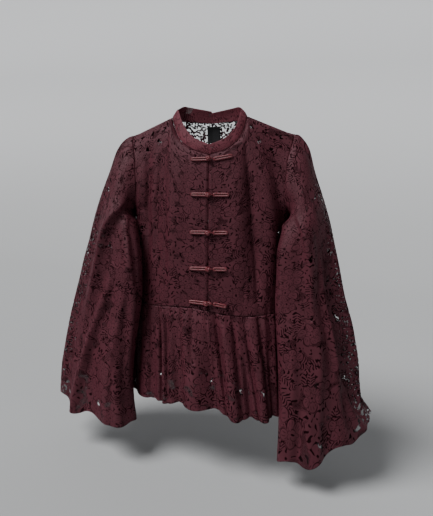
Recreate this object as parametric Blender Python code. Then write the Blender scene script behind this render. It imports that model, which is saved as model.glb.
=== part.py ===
"""Lace shirt with stand collar, five frog closures, gathered peplum and bell sleeves.

The garment is filled out with no wearer. Up is +Z, the front faces -Y and the wearer's left is +X.
The origin lies midway between the high shoulder points, where the collar meets the shoulder seams.
"""
import bmesh
import bpy
import numpy as np

# Cloth
WALL = 0.0012
COLLAR_WALL = 0.0016
SEAM_GAP = 0.0003
FRONT_EDGE_GAP = 0.0012

# Bodice
CENTRE_X = 0.008
WAIST_Z = -0.386
WAIST_WAVE = 0.004
WAIST_DEPTH_FRONT = 0.070
WAIST_DEPTH_BACK = 0.066
RING_FULLNESS = 0.88
SHOULDER_POINT = np.array([0.077, 0.0, 0.0])
SHOULDER_TIP = np.array([0.163, 0.012, -0.038])
UNDERARM_Z = -0.201
NECK_SHARE_FRONT = 0.44
NECK_SHARE_BACK = 0.46
SHOULDER_ROLL = 5.0

# Peplum
PEPLUM_LENGTH = 0.181
PEPLUM_FOLDS = 15
HEM_SHIFT_X = 0.020

# Frogs
CORD_RADIUS = 0.0019
CORD_SPREAD = 0.00215
CORD_LIFT = 0.0026
KNOT_RADIUS = 0.0040
KNOT_LIFT = 0.0092


def table(names, *rows):
    """Hold a short table by column name."""
    return {name: np.array(values, float) for name, values in zip(names.split(), zip(*rows))}


def read(columns, key, name, at):
    """Read one column on a smooth curve that never overshoots its rows."""
    xs, ys = columns[key], columns[name]
    step = np.diff(ys) / np.diff(xs)
    slope = np.concatenate([step[:1], np.zeros(len(xs) - 2), step[-1:]])
    both = step[:-1] * step[1:]
    total = np.where(np.abs(step[:-1] + step[1:]) > 1e-12, step[:-1] + step[1:], 1.0)
    slope[1:-1] = np.where(both > 0.0, 2.0 * both / total, 0.0)
    at = np.clip(at, xs[0], xs[-1])
    i = np.clip(np.searchsorted(xs, at, side="right") - 1, 0, len(xs) - 2)
    h = xs[i + 1] - xs[i]
    u = (at - xs[i]) / h
    rise = ys[i] * (1 + 2 * u) * (1 - u) ** 2 + ys[i + 1] * u * u * (3 - 2 * u)
    return rise + h * (slope[i] * u * (1 - u) ** 2 + slope[i + 1] * u * u * (u - 1))


def smooth_step(low, high, at):
    """Go smoothly from 0 at the first value to 1 at the second."""
    u = np.clip((at - low) / (high - low), 0.0, 1.0)
    return u * u * (3.0 - 2.0 * u)


# Columns of the bodice pieces, as shares from the centre to the side; they crowd at the neck's curve.
FRONT_COLUMNS = (0.0, 0.08, 0.17, 0.25, 0.32, 0.38, 0.44, 0.53, 0.62, 0.71, 0.80, 0.88, 0.95, 1.0)
BACK_COLUMNS = (0.0, 0.10, 0.20, 0.30, 0.38, 0.46, 0.54, 0.62, 0.71, 0.80, 0.88, 0.95, 1.0)

# Heights of the bodice's rows at the side; they crowd at the underarm and over the shoulder.
ROW_HEIGHTS = (-0.386, -0.345, -0.300, -0.255, -0.216, -0.201, -0.188, -0.162, -0.128, -0.094, -0.064, -0.046, -0.038)
UNDERARM_ROW = 5

AXIS_X = np.array([1.0, 0.0, 0.0])
AXIS_Y = np.array([0.0, 1.0, 0.0])
AXIS_Z = np.array([0.0, 0.0, 1.0])

# Half of the neckline, from centre front (0) over the shoulder point (1) to centre back (2).
NECKLINE = table(
    "turn x y z",
    (0.00, 0.000, -0.056, -0.078),
    (0.33, 0.031, -0.052, -0.068),
    (0.67, 0.062, -0.034, -0.042),
    (1.00, 0.077, 0.000, 0.000),
    (1.45, 0.058, 0.033, -0.007),
    (2.00, 0.000, 0.046, -0.012),
)

# Width of the bodice by the height of its side edge, and the angle round the ring where the front
# and back pieces end: at the side seam (90) or, above the underarm, at the armhole.
BODICE_SIDE = table(
    "z right left front_angle back_angle",
    (-0.390, 0.152, 0.143, 90, 90),
    (-0.300, 0.152, 0.147, 90, 90),
    (-0.215, 0.156, 0.154, 90, 90),
    (-0.200, 0.158, 0.157, 88, 90),
    (-0.190, 0.160, 0.160, 77, 79),
    (-0.170, 0.163, 0.163, 67, 68),
    (-0.135, 0.168, 0.168, 61, 60),
    (-0.100, 0.171, 0.171, 61, 59),
    (-0.070, 0.171, 0.171, 66, 63),
    (-0.048, 0.168, 0.168, 77, 74),
    (-0.038, 0.163, 0.163, 88, 88),
)

# Soft hanging folds of the bodice. Shares run from the centre to the side and from waist to top.
# The side is +1 for the wearer's left, face -1 is the front; depth below zero is a trough.
BODICE_FOLDS = table(
    "side face across_low across_high low high depth width",
    (1, -1, 0.40, 0.36, 0.05, 0.98, -0.0085, 0.075),
    (1, -1, 0.20, 0.22, 0.10, 0.85, 0.0035, 0.090),
    (1, -1, 0.60, 0.62, 0.02, 0.95, 0.0055, 0.110),
    (1, -1, 0.84, 0.80, 0.02, 0.70, -0.0050, 0.070),
    (-1, -1, 0.62, 0.74, 0.15, 0.90, -0.0080, 0.060),
    (-1, -1, 0.44, 0.50, 0.02, 0.95, -0.0050, 0.070),
    (-1, -1, 0.28, 0.28, 0.05, 0.90, 0.0040, 0.090),
    (-1, -1, 0.80, 0.88, 0.05, 0.80, 0.0045, 0.070),
    (1, 1, 0.30, 0.26, 0.04, 0.80, -0.0065, 0.080),
    (1, 1, 0.58, 0.60, 0.04, 0.90, 0.0050, 0.100),
    (1, 1, 0.84, 0.78, 0.06, 0.75, -0.0060, 0.070),
    (-1, 1, 0.20, 0.22, 0.04, 0.72, -0.0055, 0.080),
    (-1, 1, 0.46, 0.50, 0.04, 0.90, 0.0050, 0.100),
    (-1, 1, 0.74, 0.72, 0.05, 0.80, -0.0065, 0.070),
)

# Collar height and lean by the neckline's turn, for the wearer's right and left.
COLLAR = table(
    "turn rise_right rise_left lean",
    (0.00, 0.021, 0.021, 0.000),
    (0.33, 0.024, 0.023, 0.004),
    (0.67, 0.028, 0.024, 0.010),
    (1.00, 0.018, 0.017, 0.012),
    (1.45, 0.032, 0.028, 0.006),
    (2.00, 0.026, 0.023, 0.004),
)

# Sections down each sleeve: outer line, underarm line, half depth to front and back, and how far
# the front and back hang below the line between the two.
SLEEVE_NAMES = "down x_out y_out z_out x_in y_in z_in front back drop_front drop_back"
SLEEVE_LEFT = table(
    SLEEVE_NAMES,
    (0.000, 0.163, 0.012, -0.038, 0.157, -0.002, -0.200, 0.040, 0.040, 0.000, 0.000),
    (0.025, 0.170, 0.012, -0.0385, 0.1585, -0.002, -0.202, 0.043, 0.043, 0.000, 0.000),
    (0.060, 0.182, 0.012, -0.049, 0.160, -0.002, -0.205, 0.046, 0.046, 0.000, 0.000),
    (0.100, 0.193, 0.012, -0.069, 0.160, -0.003, -0.209, 0.048, 0.048, 0.000, 0.000),
    (0.170, 0.202, 0.012, -0.108, 0.159, -0.008, -0.218, 0.050, 0.048, 0.000, 0.000),
    (0.250, 0.211, 0.013, -0.150, 0.1535, -0.023, -0.236, 0.050, 0.047, 0.000, 0.000),
    (0.340, 0.223, 0.014, -0.207, 0.1470, -0.034, -0.268, 0.048, 0.044, 0.000, 0.000),
    (0.440, 0.235, 0.016, -0.273, 0.146, -0.036, -0.312, 0.046, 0.041, 0.000, 0.000),
    (0.540, 0.245, 0.018, -0.340, 0.144, -0.038, -0.364, 0.045, 0.040, 0.000, 0.000),
    (0.640, 0.256, 0.020, -0.400, 0.1460, -0.047, -0.422, 0.045, 0.040, 0.000, 0.000),
    (0.740, 0.262, 0.022, -0.453, 0.1475, -0.052, -0.482, 0.046, 0.041, -0.002, -0.002),
    (0.830, 0.267, 0.024, -0.500, 0.1475, -0.056, -0.538, 0.047, 0.043, -0.006, -0.006),
    (0.920, 0.278, 0.026, -0.535, 0.1460, -0.058, -0.595, 0.049, 0.046, -0.014, -0.012),
    (1.000, 0.298, 0.028, -0.564, 0.143, -0.058, -0.651, 0.052, 0.049, -0.014, -0.020),
)
SLEEVE_RIGHT = table(
    SLEEVE_NAMES,
    (0.000, 0.163, 0.012, -0.038, 0.157, -0.002, -0.200, 0.040, 0.040, 0.000, 0.000),
    (0.025, 0.172, 0.012, -0.040, 0.1595, -0.002, -0.202, 0.043, 0.043, 0.000, 0.000),
    (0.060, 0.187, 0.012, -0.051, 0.161, -0.002, -0.205, 0.047, 0.046, 0.000, 0.000),
    (0.100, 0.201, 0.012, -0.072, 0.161, -0.003, -0.209, 0.050, 0.048, 0.000, 0.000),
    (0.170, 0.213, 0.012, -0.104, 0.160, -0.008, -0.218, 0.052, 0.049, 0.000, 0.000),
    (0.250, 0.225, 0.013, -0.143, 0.1545, -0.024, -0.236, 0.052, 0.049, 0.000, 0.000),
    (0.340, 0.241, 0.014, -0.196, 0.1455, -0.038, -0.268, 0.050, 0.047, 0.000, 0.000),
    (0.440, 0.259, 0.015, -0.258, 0.1405, -0.046, -0.312, 0.048, 0.045, 0.000, 0.000),
    (0.540, 0.277, 0.016, -0.320, 0.1400, -0.047, -0.364, 0.047, 0.044, 0.000, 0.000),
    (0.640, 0.293, 0.016, -0.378, 0.146, -0.046, -0.420, 0.047, 0.044, 0.000, 0.000),
    (0.740, 0.307, 0.014, -0.438, 0.152, -0.049, -0.476, 0.048, 0.045, -0.002, -0.002),
    (0.830, 0.317, 0.012, -0.492, 0.1545, -0.052, -0.528, 0.049, 0.047, -0.008, -0.008),
    (0.920, 0.323, 0.009, -0.542, 0.151, -0.056, -0.576, 0.051, 0.049, -0.018, -0.016),
    (1.000, 0.325, 0.005, -0.594, 0.143, -0.063, -0.618, 0.054, 0.051, -0.026, -0.020),
)

# Long folds of the sleeves. Turns run from the outer line over the front (0.25) to the underarm
# line (0.5) and the back (0.75); depth below zero is a trough.
SLEEVE_FOLDS = table(
    "side turn_high turn_low high low depth width",
    (1, 0.140, 0.100, 0.30, 1.30, -0.0130, 0.028),
    (1, 0.215, 0.205, 0.25, 1.25, 0.0080, 0.045),
    (1, 0.330, 0.300, 0.12, 0.80, -0.0090, 0.030),
    (1, 0.420, 0.390, 0.40, 1.40, 0.0060, 0.040),
    (1, 0.020, 0.010, 0.35, 1.30, 0.0060, 0.040),
    (1, 0.640, 0.620, 0.30, 1.30, -0.0100, 0.030),
    (1, 0.760, 0.740, 0.15, 1.30, 0.0060, 0.045),
    (1, 0.880, 0.860, 0.30, 1.30, -0.0090, 0.030),
    (-1, 0.340, 0.220, 0.05, 0.72, -0.0130, 0.030),
    (-1, 0.200, 0.120, 0.10, 0.90, 0.0070, 0.045),
    (-1, 0.400, 0.330, 0.28, 1.35, -0.0110, 0.028),
    (-1, 0.110, 0.150, 0.45, 1.40, -0.0100, 0.028),
    (-1, 0.020, 0.060, 0.35, 1.40, 0.0060, 0.040),
    (-1, 0.280, 0.240, 0.55, 1.45, 0.0075, 0.035),
    (-1, 0.640, 0.660, 0.25, 1.30, -0.0100, 0.030),
    (-1, 0.770, 0.780, 0.15, 1.30, 0.0060, 0.045),
    (-1, 0.890, 0.870, 0.30, 1.30, -0.0085, 0.030),
)
HEM_WAVES = 7
CAP_GATHERS = 5.5

# Frogs: height of the middle, ends on the wearer's right and left, and how far each end is raised.
FROGS = table(
    "z right_end left_end right_rise left_rise",
    (-0.0865, -0.026, 0.052, -0.0010, 0.0065),
    (-0.1560, -0.025, 0.047, -0.0005, 0.0005),
    (-0.2300, -0.026, 0.045, -0.0015, 0.0015),
    (-0.3010, -0.027, 0.043, -0.0020, 0.0015),
    (-0.3690, -0.028, 0.042, 0.0005, -0.0025),
)

# The loop half reaches over the centre front; the knot half climbs over the loop's end to its knot.
# Shares run from the outer end to the centre; the reach past the centre is in metres.
LOOP_PATH = table(
    "share past spread lift",
    (0.00, 0.0, 1.25, 0.0),
    (0.12, 0.0, 1.02, 0.0),
    (0.45, 0.0, 1.00, 0.0),
    (0.80, 0.0, 1.04, 0.0002),
    (1.00, 0.0012, 1.10, 0.0003),
    (1.00, 0.0036, 0.85, 0.0003),
    (1.00, 0.0047, 0.00, 0.0003),
)
KNOT_PATH = table(
    "share past spread lift",
    (0.00, 0.0, 1.25, 0.0),
    (0.12, 0.0, 1.02, 0.0),
    (0.50, 0.0, 1.00, 0.0),
    (1.00, 0.0122, 1.00, 0.0004),
    (1.00, 0.0098, 0.95, 0.0026),
    (1.00, 0.0072, 0.80, 0.0050),
    (1.00, 0.0036, 0.60, 0.0060),
)

LABEL_X = (-0.009, 0.014)
LABEL_Z = (-0.054, -0.018)
LABEL_WALL = 0.0008
LABEL_SHARE_WIDTH = 0.207


def bodice_top(face, across):
    """Neckline, then the shoulder seam, from the centre (0) to the shoulder tip (1)."""
    share = np.where(face < 0, NECK_SHARE_FRONT, NECK_SHARE_BACK)
    turn = np.clip(across / share, 0.0, 1.0)
    turn = np.where(face < 0, turn, 2.0 - turn)
    neck = np.stack([read(NECKLINE, "turn", axis, turn) for axis in "xyz"], -1)
    along = np.clip((across - share) / (1.0 - share), 0.0, 1.0)[..., None]
    seam = SHOULDER_POINT + (SHOULDER_TIP - SHOULDER_POINT) * along
    return np.where(across[..., None] < share[..., None], neck, seam)


def bodice(side, face, across, up):
    """Bodice without folds: side +1 is the wearer's left, face -1 the front.

    Across runs from the centre to the side edge and up from the waist seam to the neck and shoulder.
    The cloth hangs straight from a flattened ring and rolls over the shoulder at the top.
    """
    across, up = np.broadcast_arrays(np.asarray(across, float), np.asarray(up, float))
    side = np.zeros(across.shape) + side
    face = np.zeros(across.shape) + face
    front = face < 0
    edge_z = WAIST_Z + (SHOULDER_TIP[2] - WAIST_Z) * up
    half = np.where(side > 0, read(BODICE_SIDE, "z", "left", edge_z), read(BODICE_SIDE, "z", "right", edge_z))
    limit = np.radians(np.where(
        front, read(BODICE_SIDE, "z", "front_angle", edge_z), read(BODICE_SIDE, "z", "back_angle", edge_z)))
    depth = np.where(front, WAIST_DEPTH_FRONT, WAIST_DEPTH_BACK)
    top = bodice_top(face, across)
    angle = across * (np.pi / 2 + (limit - np.pi / 2) * across ** 3)
    ring_x = half * np.sin(angle) ** RING_FULLNESS
    edge_x = half * np.sin(limit) ** RING_FULLNESS
    top_x = edge_x * top[..., 0] / SHOULDER_TIP[0]
    ring_y = face * depth * np.maximum(np.cos(angle), 0.0) ** RING_FULLNESS
    roll = 1.0 - np.sqrt(1.0 - np.clip(up, 0.0, 1.0) ** SHOULDER_ROLL)
    reach = 1.0 - (1.0 - NECK_SHARE_FRONT) * np.clip(up, 0.0, 1.0) ** 3
    x = side * (ring_x + (top_x - ring_x) * up ** 1.5)
    x += CENTRE_X * (1.0 - np.clip(across / reach, 0.0, 1.0) ** 2) * front
    y = ring_y + (top[..., 1] - ring_y) * roll
    seam_z = WAIST_Z + WAIST_WAVE * np.cos(2 * np.pi * (x + 0.03) / 0.19) * front * (1 - across ** 4)
    z = seam_z + (top[..., 2] - seam_z) * up
    return np.stack([x, y, z], -1)


def normals(surface, u, v, outward):
    """Unit normals of a surface of two shares, by small differences."""
    e = 1e-3
    du = surface(np.minimum(u + e, 1.0), v) - surface(np.maximum(u - e, 0.0), v)
    dv = surface(u, np.minimum(v + e, 1.0)) - surface(u, np.maximum(v - e, 0.0))
    n = np.cross(du, dv) * outward
    return n / np.linalg.norm(n, axis=-1, keepdims=True)


def fold_relief(folds, chosen, at_high, at_low, high, low, position, along):
    """Sum of soft ridges and troughs that fade out at both ends."""
    total = np.zeros(np.broadcast(position, along).shape)
    for i in np.nonzero(chosen)[0]:
        s = (along - folds[low][i]) / (folds[high][i] - folds[low][i])
        centre = folds[at_low][i] + (folds[at_high][i] - folds[at_low][i]) * s
        fade = np.sin(np.pi * np.clip(s, 0.0, 1.0)) ** 0.8
        total += folds["depth"][i] * fade * np.exp(-((position - centre) / folds["width"][i]) ** 2)
    return total


def bodice_folded(side, face):
    """Bodice quarter with its folds, as a surface of the shares across and up."""
    outward = -side * face

    def plain(across, up):
        return bodice(side, face, across, up)

    def folded(across, up):
        across, up = np.broadcast_arrays(np.asarray(across, float), np.asarray(up, float))
        chosen = (BODICE_FOLDS["side"] == side) & (BODICE_FOLDS["face"] == face)
        relief = fold_relief(
            BODICE_FOLDS, chosen, "across_high", "across_low", "high", "low", across, up)
        relief = relief * smooth_step(0.0, 0.08, up) * smooth_step(1.0, 0.88, up) * smooth_step(1.0, 0.86, across)
        if face < 0:
            relief = relief * smooth_step(0.04, 0.22, across)
        return plain(across, up) + normals(plain, across, up, outward) * relief[..., None]

    return folded, outward


def back_folded(across, up):
    """Whole bodice back; across runs from -1 at the wearer's right seam to +1 at the left seam."""
    right = bodice_folded(-1, 1)[0](np.abs(across), up)
    left = bodice_folded(1, 1)[0](np.abs(across), up)
    return np.where(across[..., None] < 0.0, right, left)


def armhole(side, turn):
    """Armhole loop from the shoulder tip (0) over the front (0.25) to the underarm (0.5) and back.

    It runs straight from one row of the bodice to the next, as the panels' edges do.
    """
    turn = turn % 1.0
    share = np.where(turn <= 0.5, turn, 1.0 - turn) * 2.0
    z = SHOULDER_TIP[2] + (UNDERARM_Z - SHOULDER_TIP[2]) * (1.0 - np.cos(np.pi * share)) / 2.0
    rows = np.array(ROW_HEIGHTS)
    i = np.clip(np.searchsorted(rows, z, side="right") - 1, 0, len(rows) - 2)
    face = np.where(turn <= 0.5, -1.0, 1.0)
    ends = []
    for k in (0, 1):
        up = (rows[i + k] - WAIST_Z) / (SHOULDER_TIP[2] - WAIST_Z)
        ends.append(bodice(side, face, np.ones_like(up), up))
    return ends[0] + (ends[1] - ends[0]) * ((z - rows[i]) / (rows[i + 1] - rows[i]))[..., None]


def sleeve_tube(rows, turn, down):
    """Plain tube through the sleeve's sections."""
    get = {name: read(rows, "down", name, down) for name in SLEEVE_NAMES.split()[1:]}
    out = np.stack([get["x_out"], get["y_out"], get["z_out"]], -1)
    inner = np.stack([get["x_in"], get["y_in"], get["z_in"]], -1)
    half = (out - inner) / 2.0
    angle = turn * 2.0 * np.pi
    lean = smooth_step(0.08, 0.40, down)
    sideways = np.stack([half[..., 1] * lean, -half[..., 0], np.zeros_like(down)], -1)
    sideways /= np.linalg.norm(sideways, axis=-1, keepdims=True)
    is_front = np.sin(angle) >= 0.0
    fuller = np.where(is_front, get["front"] * (1.0 - 0.22 * np.cos(angle)), get["back"] * (1.0 + 0.85 * np.cos(angle)))
    depth = fuller * np.sin(angle)
    point = (out + inner) / 2.0 + half * np.cos(angle)[..., None] + sideways * depth[..., None]
    point[..., 2] += np.where(is_front, get["drop_front"], get["drop_back"]) * np.abs(np.sin(angle)) ** 3
    return point


def sleeve_plain(side, turn, down):
    """Sleeve without folds, from the armhole (0) to the hem (1)."""
    turn, down = np.broadcast_arrays(np.asarray(turn, float), np.asarray(down, float))
    rows = SLEEVE_LEFT if side > 0 else SLEEVE_RIGHT
    start = armhole(side, turn)
    start[..., 0] *= side
    start -= sleeve_tube(rows, turn, np.zeros_like(down))
    fade = 1.0 - smooth_step(0.0, 0.16, down)
    point = sleeve_tube(rows, turn, down) + start * fade[..., None]
    point[..., 0] += SEAM_GAP * 2.3 * (1.0 - smooth_step(0.0, 0.03, down))
    point[..., 0] *= side
    return point


def sleeve_folded(side):
    """Sleeve with its folds, cap gathers and hem waves, as a surface of the shares turn and down."""
    outward = -side

    def plain(turn, down):
        return sleeve_plain(side, turn, down)

    def slope(turn, down):
        e = 1e-3
        du = plain(turn + e, down) - plain(turn - e, down)
        dv = plain(turn, np.minimum(down + e, 1.0)) - plain(turn, np.maximum(down - e, 0.0))
        n = np.cross(du, dv) * outward
        return n / np.linalg.norm(n, axis=-1, keepdims=True)

    def folded(turn, down):
        turn, down = np.broadcast_arrays(np.asarray(turn, float), np.asarray(down, float))
        chosen = SLEEVE_FOLDS["side"] == side
        relief = np.zeros(turn.shape)
        for shift in (-1.0, 0.0, 1.0):
            relief += fold_relief(
                SLEEVE_FOLDS, chosen, "turn_high", "turn_low", "high", "low", turn + shift, down)
        relief *= 1.0 - 0.75 * np.exp(-((turn % 1.0 - 0.5) / 0.06) ** 2)
        from_top = (turn + 0.5) % 1.0 - 0.5
        gather = np.cos(2 * np.pi * CAP_GATHERS * from_top / 0.5) * np.exp(-(from_top / 0.17) ** 4)
        relief += 0.0019 * gather * smooth_step(0.0, 0.03, down) * smooth_step(0.17, 0.05, down)
        wave = np.sin(2 * np.pi * HEM_WAVES * turn + 1.3 + side)
        ragged = wave * smooth_step(0.70, 1.0, down) * (1 - np.exp(-((turn % 1.0 - 0.5) / 0.05) ** 2))
        relief += 0.0045 * ragged
        point = plain(turn, down) + slope(turn, down) * relief[..., None]
        point[..., 2] += 0.0075 * ragged * down ** 6
        return point

    return folded, outward


def waist_point(turn):
    """Point of the waist seam; turn 0 is centre front, 0.25 the wearer's left side, 0.5 the back."""
    turn = turn % 1.0
    side = np.where(turn <= 0.5, 1.0, -1.0)
    half = np.where(turn <= 0.5, turn, 1.0 - turn) * 4.0
    face = np.where(half <= 1.0, -1.0, 1.0)
    across = np.where(half <= 1.0, half, 2.0 - half)
    return bodice(side, face, across, np.zeros_like(across))


def fold_wave(phase):
    """Broad rounded ridges between narrow valleys."""
    return 2.0 * np.sqrt(np.cos(phase / 2.0) ** 2 + 0.03) - 1.25


def peplum(turn, down):
    """Gathered peplum from the waist seam (0) to the hem (1)."""
    turn, down = np.broadcast_arrays(np.asarray(turn, float), np.asarray(down, float))
    e = 2e-3
    along = waist_point(turn + e) - waist_point(turn - e)
    out = np.stack([along[..., 1], -along[..., 0], np.zeros_like(turn)], -1)
    out /= np.linalg.norm(out, axis=-1, keepdims=True)
    angle = 2.0 * np.pi * turn
    flare_ends = 0.026 * np.abs(np.cos(angle)) ** 2
    flare_sides = np.where(np.sin(angle) < 0.0, 0.009, 0.001) * np.abs(np.sin(angle)) ** 2
    flare = (flare_sides + flare_ends) * down + 0.003 * smooth_step(0.0, 0.15, down)
    drift = 0.10 * np.sin(2 * angle + 0.6) + 0.05 * np.sin(5 * angle + 2.0)
    phase = PEPLUM_FOLDS * (angle + drift * np.sqrt(np.abs(np.sin(angle / 2.0)))) + np.pi
    size = 1.0 + 0.30 * np.sin(3 * angle + 1.0)
    room = 0.20 + 0.80 * np.abs(np.cos(angle)) ** 1.4
    fold = fold_wave(phase) * (0.0012 + 0.0105 * smooth_step(0.0, 0.9, down)) * size * room
    gather = np.cos(2.0 * phase + 0.8) * 0.0022 * room * smooth_step(0.62, 0.0, down)
    point = waist_point(turn) + out * (flare + fold + gather)[..., None]
    point[..., 0] += HEM_SHIFT_X * down * np.maximum(np.cos(angle), 0.0) ** 2
    hem = 0.0035 * np.sin(2 * angle + 1.1) + 0.25 * fold
    side_drop = 0.011 * np.sin(angle) ** 2
    point[..., 2] -= 2 * SEAM_GAP + (PEPLUM_LENGTH + side_drop + hem) * down
    return point


def neck_edge(side, face, across):
    """Top edge of the bodice as its panels have it, straight from one column to the next."""
    point = np.zeros(across.shape + (3,))
    for which, columns in ((-1.0, FRONT_COLUMNS), (1.0, BACK_COLUMNS)):
        here = face == which
        columns = np.array(columns)
        i = np.clip(np.searchsorted(columns, across[here], side="right") - 1, 0, len(columns) - 2)
        ends = [bodice(side[here], which, columns[i + k], np.ones(i.shape)) for k in (0, 1)]
        share = ((across[here] - columns[i]) / (columns[i + 1] - columns[i]))[..., None]
        point[here] = ends[0] + (ends[1] - ends[0]) * share
    return point


def collar(turn, up):
    """Stand collar; turn runs from the wearer's right front edge (-2) over the back (0) to +2."""
    turn, up = np.broadcast_arrays(np.asarray(turn, float), np.asarray(up, float))
    side = np.where(turn < 0.0, -1.0, 1.0)
    place = 2.0 - np.abs(turn)
    face = np.where(place < 1.0, -1.0, 1.0)
    across = np.where(place < 1.0, place * NECK_SHARE_FRONT, (2.0 - place) * NECK_SHARE_BACK)
    foot = neck_edge(side, face, across)
    rise = np.where(side < 0, read(COLLAR, "turn", "rise_right", place), read(COLLAR, "turn", "rise_left", place))
    lean = read(COLLAR, "turn", "lean", place)
    inward = np.stack([CENTRE_X - foot[..., 0], -foot[..., 1], np.zeros_like(turn)], -1)
    inward /= np.linalg.norm(inward, axis=-1, keepdims=True)
    bow = 0.0012 * np.sin(np.pi * up)
    point = foot + inward * (lean * up - bow)[..., None]
    point[..., 2] += 1.5 * SEAM_GAP + rise * up
    return point


def trimmed(points, edges):
    """Draw the named edges of a grid of points back from their seams."""
    points = points.copy()
    picks = {
        "first_u": (np.s_[0, :], np.s_[2, :]), "last_u": (np.s_[-1, :], np.s_[-3, :]),
        "first_v": (np.s_[:, 0], np.s_[:, 1]), "last_v": (np.s_[:, -1], np.s_[:, -2]),
    }
    for name, amount in edges.items():
        edge, inside = picks[name]
        step = points[inside] - points[edge]
        points[edge] += step / np.linalg.norm(step, axis=-1, keepdims=True) * amount
    return points


def shell(name, surface, us, vs, outward, wall=WALL, edges=None, holes=(), closed=False, square=()):
    """Closed wall on a surface, cut through by holes that each lie within one cell of the grid.

    A surface that closes on itself gives the same normals on both sides of a seam. At a seam with
    another piece the wall can be set square to the seam's line and to an axis of the frame.
    """
    u, v = np.meshgrid(us, vs, indexing="ij")
    outer = surface(u, v)
    e = 5e-4
    low_u, high_u, low_v, high_v = min(us), max(us), min(vs), max(vs)
    if closed:
        low_u, high_u = low_u - 1.0, high_u + 1.0
    du = surface(np.minimum(u + e, high_u), v) - surface(np.maximum(u - e, low_u), v)
    dv = surface(u, np.minimum(v + e, high_v)) - surface(u, np.maximum(v - e, low_v))
    normal = np.cross(du, dv) * outward
    for points, line, axis in square:
        facing = np.cross((du if line == "u" else dv)[points], axis)
        normal[points] = facing * np.sign(np.sum(facing * normal[points], -1, keepdims=True))
    normal /= np.linalg.norm(normal, axis=-1, keepdims=True)
    inner = outer - normal * wall
    outer, inner = trimmed(outer, edges or {}), trimmed(inner, edges or {})
    rows, columns = u.shape

    mesh = bmesh.new()
    layers = []
    for points in (outer, inner):
        layers.append([[mesh.verts.new(points[i, j]) for j in range(columns)] for i in range(rows)])
    cut = {(i, j): corners for i, j, corners in holes}
    for i in range(rows - 1):
        for j in range(columns - 1):
            rings = []
            for layer in layers:
                cell = [layer[i][j], layer[i + 1][j], layer[i + 1][j + 1], layer[i][j + 1]]
                if (i, j) not in cut:
                    mesh.faces.new(cell)
                    continue
                ring = []
                for a, b in cut[i, j]:
                    low = cell[0].co.lerp(cell[1].co, a)
                    high = cell[3].co.lerp(cell[2].co, a)
                    ring.append(mesh.verts.new(low.lerp(high, b)))
                for k in range(4):
                    mesh.faces.new([cell[k], cell[(k + 1) % 4], ring[(k + 1) % 4], ring[k]])
                rings.append(ring)
            if rings:
                for k in range(4):
                    mesh.faces.new([rings[0][k], rings[0][(k + 1) % 4], rings[1][(k + 1) % 4], rings[1][k]])
    rim = [(i, 0) for i in range(rows)] + [(rows - 1, j) for j in range(1, columns)]
    rim += [(i, columns - 1) for i in range(rows - 2, -1, -1)] + [(0, j) for j in range(columns - 2, 0, -1)]
    for (i, j), (m, n) in zip(rim, rim[1:] + rim[:1]):
        mesh.faces.new([layers[0][i][j], layers[0][m][n], layers[1][m][n], layers[1][i][j]])
    bmesh.ops.recalc_face_normals(mesh, faces=mesh.faces)
    return finish(name, mesh)


def finish(name, mesh):
    """Turn a bmesh into a named object of the shirt."""
    data = bpy.data.meshes.new(name)
    mesh.to_mesh(data)
    mesh.free()
    obj = bpy.data.objects.new(name, data)
    shirt.objects.link(obj)
    return obj


def leaf(a, b, half_a, half_b, skew):
    """Corners of one lace gap within its cell, in shares of the cell."""
    return [
        (a - half_a, b - half_b + skew), (a + half_a * 0.7, b - half_b - skew),
        (a + half_a, b + half_b - skew), (a - half_a * 0.7, b + half_b + skew),
    ]


def lace_gaps(us, vs, surface, wanted, width=0.0068, height=0.0095):
    """Gaps of real size in the cells that the lace's repeat picks out."""
    holes = []
    for i, j, turn in wanted:
        here = surface(np.array([us[i], us[i + 1], us[i], us[i + 1]]), np.array([vs[j], vs[j], vs[j + 1], vs[j + 1]]))
        size_a = (np.linalg.norm(here[1] - here[0]) + np.linalg.norm(here[3] - here[2])) / 2
        size_b = (np.linalg.norm(here[2] - here[0]) + np.linalg.norm(here[3] - here[1])) / 2
        half_a = min(0.36, width / size_a / 2)
        half_b = min(0.36, height / size_b / 2)
        skew = 0.30 * half_b * (1 if turn % 2 else -1)
        middle = 0.5 + 0.25 * (0.5 - half_b) * ((turn % 3) - 1)
        holes.append((i, j, leaf(0.5, middle, half_a, half_b * 0.9, skew)))
    return holes


def repeat_cells(columns, rows, pick):
    """Cells of a grid that a repeat of the lace leaves open."""
    cells = []
    for i in range(columns):
        for j in range(rows):
            if pick(i, j):
                cells.append((i, j, i * 2 + j * 3))
    return cells


def levels_from(heights, low, high):
    """Shares of the way from one height to another."""
    return [(height - low) / (high - low) for height in heights]


def front_point(x, z):
    """Point and outward normal on the folded fronts at a given width and height."""
    side = 1 if x >= CENTRE_X else -1
    surface, outward = bodice_folded(side, -1)
    share = np.array([0.1, 0.5])
    for _ in range(12):
        def miss(values):
            point = surface(np.array(values[0]), np.array(values[1]))
            return np.array([point[0] - x, point[2] - z])
        base = miss(share)
        slope = np.stack([(miss(share + np.eye(2)[k] * 1e-4) - base) / 1e-4 for k in range(2)], -1)
        share = np.clip(share - np.linalg.solve(slope, base), 0.0, 1.0)
    point = surface(share[0], share[1])
    normal = normals(surface, np.array(share[0]), np.array(share[1]), outward)
    return point, normal


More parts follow.
